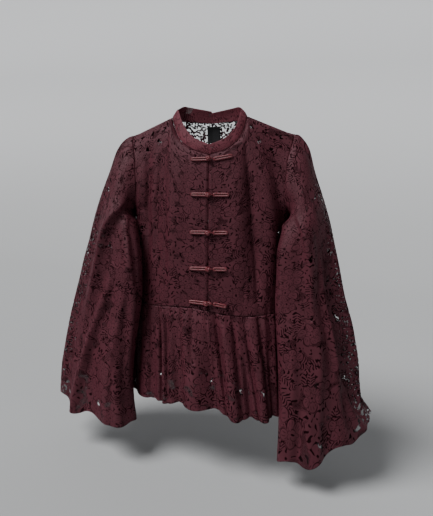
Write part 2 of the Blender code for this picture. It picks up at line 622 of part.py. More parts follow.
def cord(name, points):
    """Round cord through points, as a closed mesh."""
    curve = bpy.data.curves.new(name, "CURVE")
    curve.dimensions = "3D"
    curve.bevel_depth = CORD_RADIUS
    curve.bevel_resolution = 1
    curve.use_fill_caps = True
    spline = curve.splines.new("POLY")
    spline.points.add(len(points) - 1)
    for place, point in zip(spline.points, points):
        place.co = (*point, 1.0)
    holder = bpy.data.objects.new(name + "_path", curve)
    helpers.objects.link(holder)
    mesh = bmesh.new()
    mesh.from_mesh(bpy.data.meshes.new_from_object(holder.evaluated_get(bpy.context.evaluated_depsgraph_get())))
    bmesh.ops.remove_doubles(mesh, verts=mesh.verts, dist=0.00002)
    bpy.data.objects.remove(holder)
    return finish(name, mesh)


def frog_path(path, end_x, middle_z, rise, direction):
    """Doubled cord of one frog half: along one strand to the middle and back along the other."""
    strands = []
    for way in (1, -1):
        strand = []
        for share, past, spread, lift in zip(path["share"], path["past"], path["spread"], path["lift"]):
            if spread == 0.0 and way < 0:
                continue
            if past > 0.0:
                x = CENTRE_X + past
                z = middle_z
            else:
                stop = CENTRE_X + (0.013 if direction > 0 else -0.001)
                x = end_x + (stop - end_x) * share
                z = middle_z + rise * (1.0 - share)
            point, normal = front_point(x, z)
            point = point + normal * (CORD_LIFT + lift)
            point[2] += way * spread * CORD_SPREAD
            strand.append(point)
        strands.append(strand)
    return strands[0] + strands[1][::-1]


def lace_material(name, colour, roughness):
    """Plain cloth material in the photographed colour."""
    material = bpy.data.materials.new(name)
    material.use_nodes = True
    shader = material.node_tree.nodes["Principled BSDF"]
    shader.inputs["Base Color"].default_value = (*colour, 1.0)
    shader.inputs["Roughness"].default_value = roughness
    shader.inputs["Metallic"].default_value = 0.0
    material.diffuse_color = (*colour, 1.0)
    return material


for old in list(bpy.data.objects):
    bpy.data.objects.remove(old)
shirt = bpy.data.collections.new("lace_shirt")
helpers = bpy.data.collections.new("helpers")
bpy.context.scene.collection.children.link(shirt)
bpy.context.scene.collection.children.link(helpers)

# Bodice.
bodice_rows = levels_from(ROW_HEIGHTS, WAIST_Z, SHOULDER_TIP[2])
for side, name in ((1, "front_left"), (-1, "front_right")):
    surface, outward = bodice_folded(side, -1)
    gaps = lace_gaps(FRONT_COLUMNS, bodice_rows, surface, repeat_cells(
        13, 12, lambda i, j: (j == 10 and i in (6, 8, 10)) or (j == 9 and i in (7, 9)) or (j in (1, 3) and i in (4, 9))))
    shell(name, surface, FRONT_COLUMNS, bodice_rows, outward,
          edges={"first_u": FRONT_EDGE_GAP / 2, "last_u": SEAM_GAP / 2, "last_v": SEAM_GAP / 2}, holes=gaps,
          square=[(np.s_[-1, :UNDERARM_ROW + 1], "v", AXIS_Y),
                  (np.s_[FRONT_COLUMNS.index(NECK_SHARE_FRONT):, -1], "u", AXIS_Y)])

back_columns = [-share for share in reversed(BACK_COLUMNS[1:])] + list(BACK_COLUMNS)
neck_start = back_columns.index(-NECK_SHARE_BACK)
gaps = lace_gaps(back_columns, bodice_rows, back_folded, repeat_cells(
    24, 12, lambda i, j: (j in (10, 11) and 7 <= i <= 16) or (j == 9 and i % 2 == 0 and 4 <= i <= 19)
    or (j in (1, 3, 7) and i % 5 == j % 3 + 1 and 2 <= i <= 21)))
shell("back", back_folded, back_columns, bodice_rows, -1,
      edges={"first_u": SEAM_GAP / 2, "last_u": SEAM_GAP / 2, "last_v": SEAM_GAP / 2}, holes=gaps,
      square=[(np.s_[0, :UNDERARM_ROW + 1], "v", AXIS_Y), (np.s_[-1, :UNDERARM_ROW + 1], "v", AXIS_Y),
              (np.s_[:neck_start + 1, -1], "u", AXIS_Y), (np.s_[-neck_start - 1:, -1], "u", AXIS_Y)])

# Collar.
EDGE_TURN = 0.022
collar_turns = list(np.linspace(-2.0 + EDGE_TURN, 2.0 - EDGE_TURN, 33))
shell("collar", collar, collar_turns, [0.0, 0.5, 1.0], -1, wall=COLLAR_WALL,
      square=[(np.s_[:, 0], "u", AXIS_Z)])

# Peplum in three pieces, seamed at the sides.
SIDE_TURN = 0.25
peplum_rows = [0.0, 0.05, 0.14, 0.28, 0.45, 0.63, 0.82, 1.0]
for name, start, stop, count, first, last in (
        ("peplum_front_left", 0.0, SIDE_TURN, 30, FRONT_EDGE_GAP / 2, SEAM_GAP),
        ("peplum_front_right", -SIDE_TURN, 0.0, 30, SEAM_GAP, FRONT_EDGE_GAP / 2),
        ("peplum_back", SIDE_TURN, 1.0 - SIDE_TURN, 54, SEAM_GAP, SEAM_GAP)):
    turns = list(np.linspace(start, stop, count + 1))
    gaps = lace_gaps(turns, peplum_rows, peplum, repeat_cells(
        count, 7, lambda i, j: j in (4, 5) and i % 6 == (2 if j == 4 else 5)), width=0.0052, height=0.010)
    shell(name, peplum, turns, peplum_rows, 1, edges={"first_u": first, "last_u": last}, holes=gaps, closed=True)

# Sleeves, each a front and a back half with more columns over the gathered cap.
sleeve_rows = [0.0, 0.025, 0.06, 0.10, 0.17, 0.25, 0.34, 0.44, 0.54, 0.64, 0.74, 0.83, 0.92, 1.0]
half_turns = [0.0, 0.0227, 0.0454, 0.0681, 0.0908, 0.1135, 0.1362, 0.160, 0.185, 0.212, 0.242, 0.275, 0.31,
              0.345, 0.38, 0.42, 0.46, 0.5]
for side, word in ((1, "left"), (-1, "right")):
    surface, outward = sleeve_folded(side)
    for half, turns in (("front", half_turns), ("back", [1.0 - turn for turn in reversed(half_turns)])):
        count = len(turns) - 1
        gaps = lace_gaps(turns, sleeve_rows, surface, repeat_cells(count, 13, lambda i, j: (
            j >= 4 and (i if half == "front" else count - 1 - i) in ((2, 5) if j % 2 else (3, 7)))
            or (j in (6, 8, 10, 12) and (i if half == "front" else count - 1 - i) == 12)))
        shell("sleeve_%s_%s" % (word, half), surface, turns, sleeve_rows, outward,
              edges={"first_u": SEAM_GAP, "last_u": SEAM_GAP}, holes=gaps, closed=True,
              square=[(np.s_[:, 0], "u", AXIS_X)])

# Frogs.
for row in range(len(FROGS["z"])):
    z = FROGS["z"][row]
    number = row + 1
    cord("frog_%d_loop" % number, frog_path(LOOP_PATH, FROGS["right_end"][row], z, FROGS["right_rise"][row], -1))
    tail = cord("frog_%d_knot" % number, frog_path(KNOT_PATH, FROGS["left_end"][row], z, FROGS["left_rise"][row], 1))
    point, normal = front_point(CENTRE_X + 0.0015, z)
    ball = bmesh.new()
    bmesh.ops.create_uvsphere(ball, u_segments=8, v_segments=6, radius=KNOT_RADIUS)
    bmesh.ops.translate(ball, verts=ball.verts, vec=point + normal * KNOT_LIFT)
    knot = finish("frog_%d_ball" % number, ball)
    join = tail.modifiers.new("tied", "BOOLEAN")
    join.operation = "UNION"
    join.solver = "EXACT"
    join.object = knot
    shirt.objects.unlink(knot)
    helpers.objects.link(knot)
    knot.hide_render = True
    knot.display_type = "WIRE"


def label_surface(across, up):
    """Inner face of the back piece, a little way in, where the neck label hangs."""
    e = 1e-3
    du = back_folded(across + e, up) - back_folded(across - e, up)
    dv = back_folded(across, np.minimum(up + e, 1.0)) - back_folded(across, up - e)
    inward = np.cross(du, dv)
    inward /= np.linalg.norm(inward, axis=-1, keepdims=True)
    return back_folded(across, up) + inward * (WALL + 3 * SEAM_GAP)


neck_back_z = NECKLINE["z"][-1]
label_rows = levels_from(np.linspace(LABEL_Z[0], LABEL_Z[1], 4), WAIST_Z, neck_back_z)
label_columns = list(np.linspace(LABEL_X[0], LABEL_X[1], 3) / LABEL_SHARE_WIDTH)
shell("neck_label", label_surface, label_columns, label_rows, -1, wall=LABEL_WALL)

LACE = (0.088, 0.022, 0.032)
SATIN = (0.215, 0.075, 0.078)
DARK = (0.022, 0.022, 0.025)
for piece in list(shirt.objects):
    colour, roughness = LACE, 0.85
    if piece.name.startswith("frog"):
        colour, roughness = SATIN, 0.45
    if piece.name == "neck_label":
        colour, roughness = DARK, 0.6
    piece.data.materials.clear()
    piece.data.materials.append(lace_material(piece.name + "_cloth", colour, roughness))
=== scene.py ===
# %% [markdown]
# # A lace shirt, piece by piece
# This lesson dresses a plain solid model of a shirt as real cloth. The shirt has a stand collar, frog
# closures down the front, a gathered peplum and wide bell sleeves. Each piece of cloth is worked out from
# the same kind of sizes a dressmaker writes down, so every number below means something on the garment.
# Up is +Z, the front faces -Y and the wearer's left is +X. Lengths are in metres, apart from distances
# along the cloth, which are in millimetres.

# %% The plain solids
import math
import bpy
import numpy as np
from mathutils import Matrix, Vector
from mathutils.bvhtree import BVHTree


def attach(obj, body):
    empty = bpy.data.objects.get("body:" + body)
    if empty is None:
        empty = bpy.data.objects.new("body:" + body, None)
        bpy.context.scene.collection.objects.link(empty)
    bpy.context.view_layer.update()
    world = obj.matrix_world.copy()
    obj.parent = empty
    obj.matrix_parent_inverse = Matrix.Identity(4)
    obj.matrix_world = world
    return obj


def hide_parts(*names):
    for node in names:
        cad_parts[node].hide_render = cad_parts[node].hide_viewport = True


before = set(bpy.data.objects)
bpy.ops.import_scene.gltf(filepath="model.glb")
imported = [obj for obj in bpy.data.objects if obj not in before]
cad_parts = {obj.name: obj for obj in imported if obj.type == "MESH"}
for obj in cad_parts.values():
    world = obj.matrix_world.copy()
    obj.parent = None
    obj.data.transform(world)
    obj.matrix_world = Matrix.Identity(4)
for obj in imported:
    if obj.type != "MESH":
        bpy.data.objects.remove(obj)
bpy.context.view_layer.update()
print("solids:", len(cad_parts))

# %% [markdown]
# ## Reading sizes from short tables
# A pattern cutter keeps sizes in tables: how wide the bodice is at the waist, at the chest, at the
# underarm. We do the same, and read between the rows on a smooth curve. The curve never overshoots a row,
# so a panel never bulges past the sizes that were measured.

# %% Tables and curves


def table(names, *rows):
    """Hold a short table by column name."""
    return {name: np.array(values, float) for name, values in zip(names.split(), zip(*rows))}


def read(columns, key, name, at):
    """Read one column on a smooth curve that never overshoots its rows."""
    xs, ys = columns[key], columns[name]
    step = np.diff(ys) / np.diff(xs)
    slope = np.concatenate([step[:1], np.zeros(len(xs) - 2), step[-1:]])
    both = step[:-1] * step[1:]
    total = np.where(np.abs(step[:-1] + step[1:]) > 1e-12, step[:-1] + step[1:], 1.0)
    slope[1:-1] = np.where(both > 0.0, 2.0 * both / total, 0.0)
    at = np.clip(at, xs[0], xs[-1])
    i = np.clip(np.searchsorted(xs, at, side="right") - 1, 0, len(xs) - 2)
    h = xs[i + 1] - xs[i]
    u = (at - xs[i]) / h
    rise = ys[i] * (1 + 2 * u) * (1 - u) ** 2 + ys[i + 1] * u * u * (3 - 2 * u)
    return rise + h * (slope[i] * u * (1 - u) ** 2 + slope[i + 1] * u * u * (u - 1))


def smooth_step(low, high, at):
    """Go smoothly from 0 at the first value to 1 at the second."""
    u = np.clip((at - low) / (high - low), 0.0, 1.0)
    return u * u * (3.0 - 2.0 * u)


# %% [markdown]
# ## The bodice
# The bodice hangs from the shoulders as a flattened ring of cloth. Its width is measured at the side
# seams, level by level, and above the underarm the panels end at the armhole, so the table also says how
# far round the ring each panel reaches. Over the last few centimetres the cloth rolls over the shoulder
# to meet the seam on top.

# %% Sizes of the bodice
CENTRE_X = 0.008
WAIST_Z = -0.386
WAIST_WAVE = 0.004
WAIST_DEPTH_FRONT = 0.070
WAIST_DEPTH_BACK = 0.066
RING_FULLNESS = 0.88
SHOULDER_POINT = np.array([0.077, 0.0, 0.0])
SHOULDER_TIP = np.array([0.163, 0.012, -0.038])
UNDERARM_Z = -0.201
NECK_SHARE_FRONT = 0.44
NECK_SHARE_BACK = 0.46
SHOULDER_ROLL = 5.0
LACE_THICKNESS = 0.0007

NECKLINE = table(
    "turn x y z",
    (0.00, 0.000, -0.056, -0.078),
    (0.33, 0.031, -0.052, -0.068),
    (0.67, 0.062, -0.034, -0.042),
    (1.00, 0.077, 0.000, 0.000),
    (1.45, 0.058, 0.033, -0.007),
    (2.00, 0.000, 0.046, -0.012),
)
BODICE_SIDE = table(
    "z right left front_angle back_angle",
    (-0.390, 0.152, 0.143, 90, 90),
    (-0.300, 0.152, 0.147, 90, 90),
    (-0.215, 0.156, 0.154, 90, 90),
    (-0.200, 0.158, 0.157, 88, 90),
    (-0.190, 0.160, 0.160, 77, 79),
    (-0.170, 0.163, 0.163, 67, 68),
    (-0.135, 0.168, 0.168, 61, 60),
    (-0.100, 0.171, 0.171, 61, 59),
    (-0.070, 0.171, 0.171, 66, 63),
    (-0.048, 0.168, 0.168, 77, 74),
    (-0.038, 0.163, 0.163, 88, 88),
)

# Soft folds first, then the sharper creases that pressing and folding left in the lace.
BODICE_FOLDS = table(
    "side face across_low across_high low high depth width",
    (1, -1, 0.40, 0.36, 0.05, 0.98, -0.0085, 0.075),
    (1, -1, 0.20, 0.22, 0.10, 0.85, 0.0035, 0.090),
    (1, -1, 0.60, 0.62, 0.02, 0.95, 0.0055, 0.110),
    (1, -1, 0.84, 0.80, 0.02, 0.70, -0.0050, 0.070),
    (-1, -1, 0.62, 0.74, 0.15, 0.90, -0.0080, 0.060),
    (-1, -1, 0.44, 0.50, 0.02, 0.95, -0.0050, 0.070),
    (-1, -1, 0.28, 0.28, 0.05, 0.90, 0.0040, 0.090),
    (-1, -1, 0.80, 0.88, 0.05, 0.80, 0.0045, 0.070),
    (1, 1, 0.30, 0.26, 0.04, 0.80, -0.0065, 0.080),
    (1, 1, 0.58, 0.60, 0.04, 0.90, 0.0050, 0.100),
    (1, 1, 0.84, 0.78, 0.06, 0.75, -0.0060, 0.070),
    (-1, 1, 0.20, 0.22, 0.04, 0.72, -0.0055, 0.080),
    (-1, 1, 0.46, 0.50, 0.04, 0.90, 0.0050, 0.100),
    (-1, 1, 0.74, 0.72, 0.05, 0.80, -0.0065, 0.070),
    (1, -1, 0.39, 0.35, 0.30, 0.93, -0.0035, 0.026),
    (1, -1, 0.43, 0.41, 0.02, 0.45, -0.0060, 0.026),
    (1, -1, 0.52, 0.49, 0.40, 0.88, -0.0014, 0.020),
    (1, -1, 0.72, 0.70, 0.05, 0.62, -0.0018, 0.024),
    (1, -1, 0.90, 0.93, 0.18, 0.52, -0.0024, 0.022),
    (1, -1, 0.26, 0.31, 0.02, 0.30, -0.0012, 0.020),
    (-1, -1, 0.13, 0.24, 0.44, 0.60, -0.0022, 0.022),
    (-1, -1, 0.66, 0.76, 0.30, 0.82, -0.0035, 0.022),
    (-1, -1, 0.50, 0.55, 0.25, 0.90, -0.0035, 0.024),
    (-1, -1, 0.36, 0.40, 0.10, 0.75, -0.0040, 0.024),
    (-1, -1, 0.86, 0.90, 0.10, 0.50, -0.0022, 0.020),
    (-1, -1, 0.20, 0.18, 0.62, 0.90, -0.0012, 0.020),
    (1, 1, 0.29, 0.24, 0.10, 0.62, -0.0028, 0.026),
    (1, 1, 0.70, 0.62, 0.35, 0.85, -0.0022, 0.024),
    (1, 1, 0.12, 0.10, 0.05, 0.40, -0.0016, 0.022),
    (-1, 1, 0.19, 0.23, 0.20, 0.68, -0.0026, 0.026),
    (-1, 1, 0.60, 0.66, 0.08, 0.52, -0.0022, 0.024),
    (-1, 1, 0.88, 0.84, 0.30, 0.72, -0.0020, 0.022),
)

# %% The bodice as a surface


def bodice_top(face, across):
    """Neckline, then the shoulder seam, from the centre (0) to the shoulder tip (1)."""
    share = np.where(face < 0, NECK_SHARE_FRONT, NECK_SHARE_BACK)
    turn = np.clip(across / share, 0.0, 1.0)
    turn = np.where(face < 0, turn, 2.0 - turn)
    neck = np.stack([read(NECKLINE, "turn", axis, turn) for axis in "xyz"], -1)
    along = np.clip((across - share) / (1.0 - share), 0.0, 1.0)[..., None]
    seam = SHOULDER_POINT + (SHOULDER_TIP - SHOULDER_POINT) * along
    return np.where(across[..., None] < share[..., None], neck, seam)


def bodice(side, face, across, up):
    """Bodice without folds: side +1 is the wearer's left, face -1 the front."""
    across, up = np.broadcast_arrays(np.asarray(across, float), np.asarray(up, float))
    side = np.zeros(across.shape) + side
    face = np.zeros(across.shape) + face
    front = face < 0
    edge_z = WAIST_Z + (SHOULDER_TIP[2] - WAIST_Z) * up
    half = np.where(side > 0, read(BODICE_SIDE, "z", "left", edge_z), read(BODICE_SIDE, "z", "right", edge_z))
    limit = np.radians(np.where(
        front, read(BODICE_SIDE, "z", "front_angle", edge_z), read(BODICE_SIDE, "z", "back_angle", edge_z)))
    depth = np.where(front, WAIST_DEPTH_FRONT, WAIST_DEPTH_BACK)
    top = bodice_top(face, across)
    angle = across * (np.pi / 2 + (limit - np.pi / 2) * across ** 3)
    ring_x = half * np.sin(angle) ** RING_FULLNESS
    edge_x = half * np.sin(limit) ** RING_FULLNESS
    top_x = edge_x * top[..., 0] / SHOULDER_TIP[0]
    ring_y = face * depth * np.maximum(np.cos(angle), 0.0) ** RING_FULLNESS
    roll = 1.0 - np.sqrt(1.0 - np.clip(up, 0.0, 1.0) ** SHOULDER_ROLL)
    reach = 1.0 - (1.0 - NECK_SHARE_FRONT) * np.clip(up, 0.0, 1.0) ** 3
    x = side * (ring_x + (top_x - ring_x) * up ** 1.5)
    x += CENTRE_X * (1.0 - np.clip(across / reach, 0.0, 1.0) ** 2) * front
    y = ring_y + (top[..., 1] - ring_y) * roll
    seam_z = WAIST_Z + WAIST_WAVE * np.cos(2 * np.pi * (x + 0.03) / 0.19) * front * (1 - across ** 4)
    z = seam_z + (top[..., 2] - seam_z) * up
    return np.stack([x, y, z], -1)


def normals(surface, u, v, outward, low=0.0, high=1.0):
    """Unit normals of a surface of two shares, by small differences."""
    e = 1e-3
    du = surface(np.minimum(u + e, high), v) - surface(np.maximum(u - e, low), v)
    dv = surface(u, np.minimum(v + e, 1.0)) - surface(u, np.maximum(v - e, 0.0))
    n = np.cross(du, dv) * outward
    return n / np.maximum(np.linalg.norm(n, axis=-1, keepdims=True), 1e-12)


def fold_relief(folds, place, position, along, chosen=True):
    """Sum of soft ridges and troughs that fade out at both ends; place names the columns they run through."""
    total = np.zeros(np.broadcast(position, along).shape)
    for i in np.nonzero((folds["width"] > 0.0) & chosen)[0]:
        s = (along - folds["low"][i]) / (folds["high"][i] - folds["low"][i])
        start, end = folds[place + "_low"][i], folds[place + "_high"][i]
        centre = start + (end - start) * s
        fade = np.sin(np.pi * np.clip(s, 0.0, 1.0)) ** 0.8
        total += folds["depth"][i] * fade * np.exp(-((position - centre) / folds["width"][i]) ** 2)
    return total


def unevenness(a, b, seed):
    """Slow waves of about +-1 that never repeat over a panel, so no two folds of cloth look the same."""
    total = np.sin(5.1 * a + 3.7 * b + seed) * np.cos(2.9 * a - 6.3 * b + 1.7 * seed)
    total += 0.6 * np.sin(11.3 * a - 4.1 * b + 2.3 * seed) * np.cos(7.7 * b + 0.9 * seed)
    total += 0.35 * np.sin(19.0 * a + 9.0 * b + 3.1 * seed)
    return total / 1.6


def bodice_folded(side, face):
    """Bodice quarter with its folds, as a surface of the shares across and up."""
    outward = -side * face

    def plain(across, up):
        return bodice(side, face, across, up)

    def folded(across, up):
        across, up = np.broadcast_arrays(np.asarray(across, float), np.asarray(up, float))
        chosen = (BODICE_FOLDS["side"] == side) & (BODICE_FOLDS["face"] == face)
        relief = fold_relief(BODICE_FOLDS, "across", across, up, chosen)
        relief = relief + 0.0009 * unevenness(across * side, up * 1.7, 2.0 + face)
        relief = relief * smooth_step(0.0, 0.08, up) * smooth_step(1.0, 0.88, up)
        relief = relief * smooth_step(1.0, 0.86, across)
        if face < 0:
            relief = relief * smooth_step(0.04, 0.22, across)
        pucker = np.sin(74.0 * across + 4.0 * np.sin(9.0 * across)) * smooth_step(0.085, 0.0, up)
        relief = relief + 0.0007 * pucker * smooth_step(1.0, 0.9, across)
        return plain(across, up) + normals(plain, across, up, outward) * relief[..., None]

    return folded, outward


def back_folded(across, up):
    """Whole bodice back; across runs from -1 at the wearer's right seam to +1 at the left seam."""
    across, up = np.broadcast_arrays(np.asarray(across, float), np.asarray(up, float))
    right = bodice_folded(-1, 1)[0](np.abs(across), up)
    left = bodice_folded(1, 1)[0](np.abs(across), up)
    return np.where(across[..., None] < 0.0, right, left)


print("folds and creases in the bodice:", len(BODICE_FOLDS["side"]))

# %% [markdown]
# ## The sleeves
# Each sleeve is one piece of lace gathered into the armhole and left wide at the hem. We describe it by
# sections: the outer line, the underarm line, and how deep the tube is to the front and to the back of
# the line between them. The first section is the armhole itself, so the sleeve starts exactly on the
# bodice. Long folds then run down the sleeve, narrow troughs between broad ridges.

# %% Sizes of the sleeves
SLEEVE_NAMES = "down x_out y_out z_out x_in y_in z_in front back drop_front drop_back"
SLEEVE_LEFT = table(
    SLEEVE_NAMES,
    (0.000, 0.163, 0.012, -0.038, 0.157, -0.002, -0.200, 0.040, 0.040, 0.000, 0.000),
    (0.025, 0.170, 0.012, -0.0385, 0.1585, -0.002, -0.202, 0.043, 0.043, 0.000, 0.000),
    (0.060, 0.182, 0.012, -0.049, 0.160, -0.002, -0.205, 0.046, 0.046, 0.000, 0.000),
    (0.100, 0.193, 0.012, -0.069, 0.160, -0.003, -0.209, 0.048, 0.048, 0.000, 0.000),
    (0.170, 0.202, 0.012, -0.108, 0.159, -0.008, -0.218, 0.050, 0.048, 0.000, 0.000),
    (0.250, 0.211, 0.013, -0.150, 0.1535, -0.023, -0.236, 0.050, 0.047, 0.000, 0.000),
    (0.340, 0.223, 0.014, -0.207, 0.1470, -0.034, -0.268, 0.048, 0.044, 0.000, 0.000),
    (0.440, 0.235, 0.016, -0.273, 0.146, -0.036, -0.312, 0.046, 0.041, 0.000, 0.000),
    (0.540, 0.245, 0.018, -0.340, 0.144, -0.038, -0.364, 0.045, 0.040, 0.000, 0.000),
    (0.640, 0.256, 0.020, -0.400, 0.1460, -0.047, -0.422, 0.045, 0.040, 0.000, 0.000),
    (0.740, 0.262, 0.022, -0.453, 0.1475, -0.052, -0.482, 0.046, 0.041, -0.002, -0.002),
    (0.830, 0.267, 0.024, -0.500, 0.1475, -0.056, -0.538, 0.047, 0.043, -0.006, -0.006),
    (0.920, 0.278, 0.026, -0.535, 0.1460, -0.058, -0.595, 0.049, 0.046, -0.014, -0.012),
    (1.000, 0.298, 0.028, -0.564, 0.143, -0.058, -0.651, 0.052, 0.049, -0.014, -0.020),
)
SLEEVE_RIGHT = table(
    SLEEVE_NAMES,
    (0.000, 0.163, 0.012, -0.038, 0.157, -0.002, -0.200, 0.040, 0.040, 0.000, 0.000),
    (0.025, 0.172, 0.012, -0.040, 0.1595, -0.002, -0.202, 0.043, 0.043, 0.000, 0.000),
    (0.060, 0.187, 0.012, -0.051, 0.161, -0.002, -0.205, 0.047, 0.046, 0.000, 0.000),
    (0.100, 0.201, 0.012, -0.072, 0.161, -0.003, -0.209, 0.050, 0.048, 0.000, 0.000),
    (0.170, 0.213, 0.012, -0.104, 0.160, -0.008, -0.218, 0.052, 0.049, 0.000, 0.000),
    (0.250, 0.225, 0.013, -0.143, 0.1545, -0.024, -0.236, 0.052, 0.049, 0.000, 0.000),
    (0.340, 0.241, 0.014, -0.196, 0.1455, -0.038, -0.268, 0.050, 0.047, 0.000, 0.000),
    (0.440, 0.259, 0.015, -0.258, 0.1405, -0.046, -0.312, 0.048, 0.045, 0.000, 0.000),
    (0.540, 0.277, 0.016, -0.320, 0.1400, -0.047, -0.364, 0.047, 0.044, 0.000, 0.000),
    (0.640, 0.293, 0.016, -0.378, 0.146, -0.046, -0.420, 0.047, 0.044, 0.000, 0.000),
    (0.740, 0.307, 0.014, -0.438, 0.152, -0.049, -0.476, 0.048, 0.045, -0.002, -0.002),
    (0.830, 0.317, 0.012, -0.492, 0.1545, -0.052, -0.528, 0.049, 0.047, -0.008, -0.008),
    (0.920, 0.323, 0.009, -0.542, 0.151, -0.056, -0.576, 0.051, 0.049, -0.018, -0.016),
    (1.000, 0.325, 0.005, -0.594, 0.143, -0.063, -0.618, 0.054, 0.051, -0.026, -0.020),
)
SLEEVE_FOLDS = table(
    "side turn_high turn_low high low depth width",
    (1, 0.140, 0.100, 0.30, 1.30, -0.0130, 0.028),
    (1, 0.215, 0.205, 0.25, 1.25, 0.0080, 0.045),
    (1, 0.330, 0.300, 0.12, 0.80, -0.0090, 0.030),
    (1, 0.420, 0.390, 0.40, 1.40, 0.0060, 0.040),
    (1, 0.020, 0.010, 0.35, 1.30, 0.0060, 0.040),
    (1, 0.640, 0.620, 0.30, 1.30, -0.0100, 0.030),
    (1, 0.760, 0.740, 0.15, 1.30, 0.0060, 0.045),
    (1, 0.880, 0.860, 0.30, 1.30, -0.0090, 0.030),
    (-1, 0.340, 0.220, 0.05, 0.72, -0.0130, 0.030),
    (-1, 0.200, 0.120, 0.10, 0.90, 0.0070, 0.045),
    (-1, 0.400, 0.330, 0.28, 1.35, -0.0110, 0.028),
    (-1, 0.110, 0.150, 0.45, 1.40, -0.0100, 0.028),
    (-1, 0.020, 0.060, 0.35, 1.40, 0.0060, 0.040),
    (-1, 0.280, 0.240, 0.55, 1.45, 0.0075, 0.035),
    (-1, 0.640, 0.660, 0.25, 1.30, -0.0100, 0.030),
    (-1, 0.770, 0.780, 0.15, 1.30, 0.0060, 0.045),
    (-1, 0.890, 0.870, 0.30, 1.30, -0.0085, 0.030),
    (1, 0.150, 0.110, 0.34, 0.98, -0.0050, 0.012),
    (1, 0.240, 0.252, 0.42, 1.20, -0.0030, 0.014),
    (1, 0.345, 0.318, 0.14, 0.66, -0.0045, 0.012),
    (1, 0.300, 0.345, 0.55, 1.25, -0.0040, 0.014),
    (1, 0.070, 0.050, 0.16, 0.62, -0.0024, 0.012),
    (1, 0.455, 0.440, 0.20, 0.75, -0.0020, 0.012),
    (1, 0.700, 0.680, 0.20, 0.90, -0.0035, 0.014),
    (1, 0.820, 0.800, 0.35, 1.20, -0.0030, 0.014),
    (1, 0.268, 0.215, 0.36, 1.02, -0.0120, 0.016),
    (1, 0.240, 0.120, 0.70, 1.10, -0.0110, 0.016),
    (1, 0.400, 0.430, 0.55, 1.15, -0.0080, 0.018),
    (-1, 0.345, 0.230, 0.08, 0.66, -0.0055, 0.012),
    (-1, 0.410, 0.345, 0.30, 1.20, -0.0045, 0.012),
    (-1, 0.115, 0.155, 0.50, 1.20, -0.0040, 0.012),
    (-1, 0.165, 0.090, 0.16, 0.62, -0.0026, 0.014),
    (-1, 0.255, 0.285, 0.60, 1.25, -0.0034, 0.013),
    (-1, 0.460, 0.450, 0.18, 0.70, -0.0020, 0.012),
    (-1, 0.710, 0.730, 0.25, 1.10, -0.0034, 0.014),
    (-1, 0.830, 0.810, 0.30, 1.20, -0.0030, 0.014),
    (-1, 0.352, 0.187, 0.44, 1.10, -0.0150, 0.017),
    (-1, 0.375, 0.470, 0.12, 0.90, -0.0110, 0.020),
    (-1, 0.400, 0.400, 0.62, 1.25, -0.0120, 0.022),
)
HEM_LIFTS = table(
    "side turn width rise",
    (-1, 0.27, 0.040, 0.014),
    (-1, 0.72, 0.090, -0.009),
    (1, 0.25, 0.050, 0.015),
    (1, 0.45, 0.030, 0.010),
    (1, 0.74, 0.100, -0.009),
    (1, 0.10, 0.040, -0.004),
)
HEM_WAVES = 7
HEM_WAVE_OUT = 0.0060
HEM_WAVE_UP = 0.0050
CAP_GATHERS = 5.5
CAP_FINE_GATHERS = 17
CAP_GATHER_DEPTH = 0.0019
CAP_FINE_DEPTH = 0.0011
INNER_TURN = 0.5
LEAN_FRONT = 0.22
LEAN_BACK = 0.85

# The inner side of each sleeve falls forward over the side of the body. The right sleeve is also tucked in
# under the arm.
OVERLAP_TURN = 0.455
OVERLAP_WIDTH = 0.08
OVERLAP_START_LEFT = 0.04
OVERLAP_START_RIGHT = 0.09
OVERLAP_RUN = 0.13
OVERLAP_IN = 0.017
OVERLAP_EASE = 0.006
OVERLAP_FORWARD = 0.016
UNDER_ARM_TURN = 0.57
UNDER_ARM_WIDTH = 0.07
UNDER_ARM_IN = 0.0080

# %% The sleeve as a surface


def armhole(side, turn):
    """Armhole loop from the shoulder tip (0) over the front (0.25) to the underarm (0.5) and back."""
    turn = turn % 1.0
    share = np.where(turn <= 0.5, turn, 1.0 - turn) * 2.0
    z = SHOULDER_TIP[2] + (UNDERARM_Z - SHOULDER_TIP[2]) * (1.0 - np.cos(np.pi * share)) / 2.0
    up = (z - WAIST_Z) / (SHOULDER_TIP[2] - WAIST_Z)
    return bodice(side, np.where(turn <= 0.5, -1.0, 1.0), np.ones_like(up), up)


def sleeve_tube(rows, turn, down):
    """Plain tube through the sleeve's sections."""
    get = {name: read(rows, "down", name, down) for name in SLEEVE_NAMES.split()[1:]}
    out = np.stack([get["x_out"], get["y_out"], get["z_out"]], -1)
    inner = np.stack([get["x_in"], get["y_in"], get["z_in"]], -1)
    half = (out - inner) / 2.0
    angle = turn * 2.0 * np.pi
    lean = smooth_step(0.08, 0.40, down)
    sideways = np.stack([half[..., 1] * lean, -half[..., 0], np.zeros_like(down)], -1)
    sideways /= np.linalg.norm(sideways, axis=-1, keepdims=True)
    is_front = np.sin(angle) >= 0.0
    to_front = get["front"] * (1.0 - LEAN_FRONT * np.cos(angle))
    to_back = get["back"] * (1.0 + LEAN_BACK * np.cos(angle))
    depth = np.where(is_front, to_front, to_back) * np.sin(angle)
    point = (out + inner) / 2.0 + half * np.cos(angle)[..., None] + sideways * depth[..., None]
    point[..., 2] += np.where(is_front, get["drop_front"], get["drop_back"]) * np.abs(np.sin(angle)) ** 3
    return point


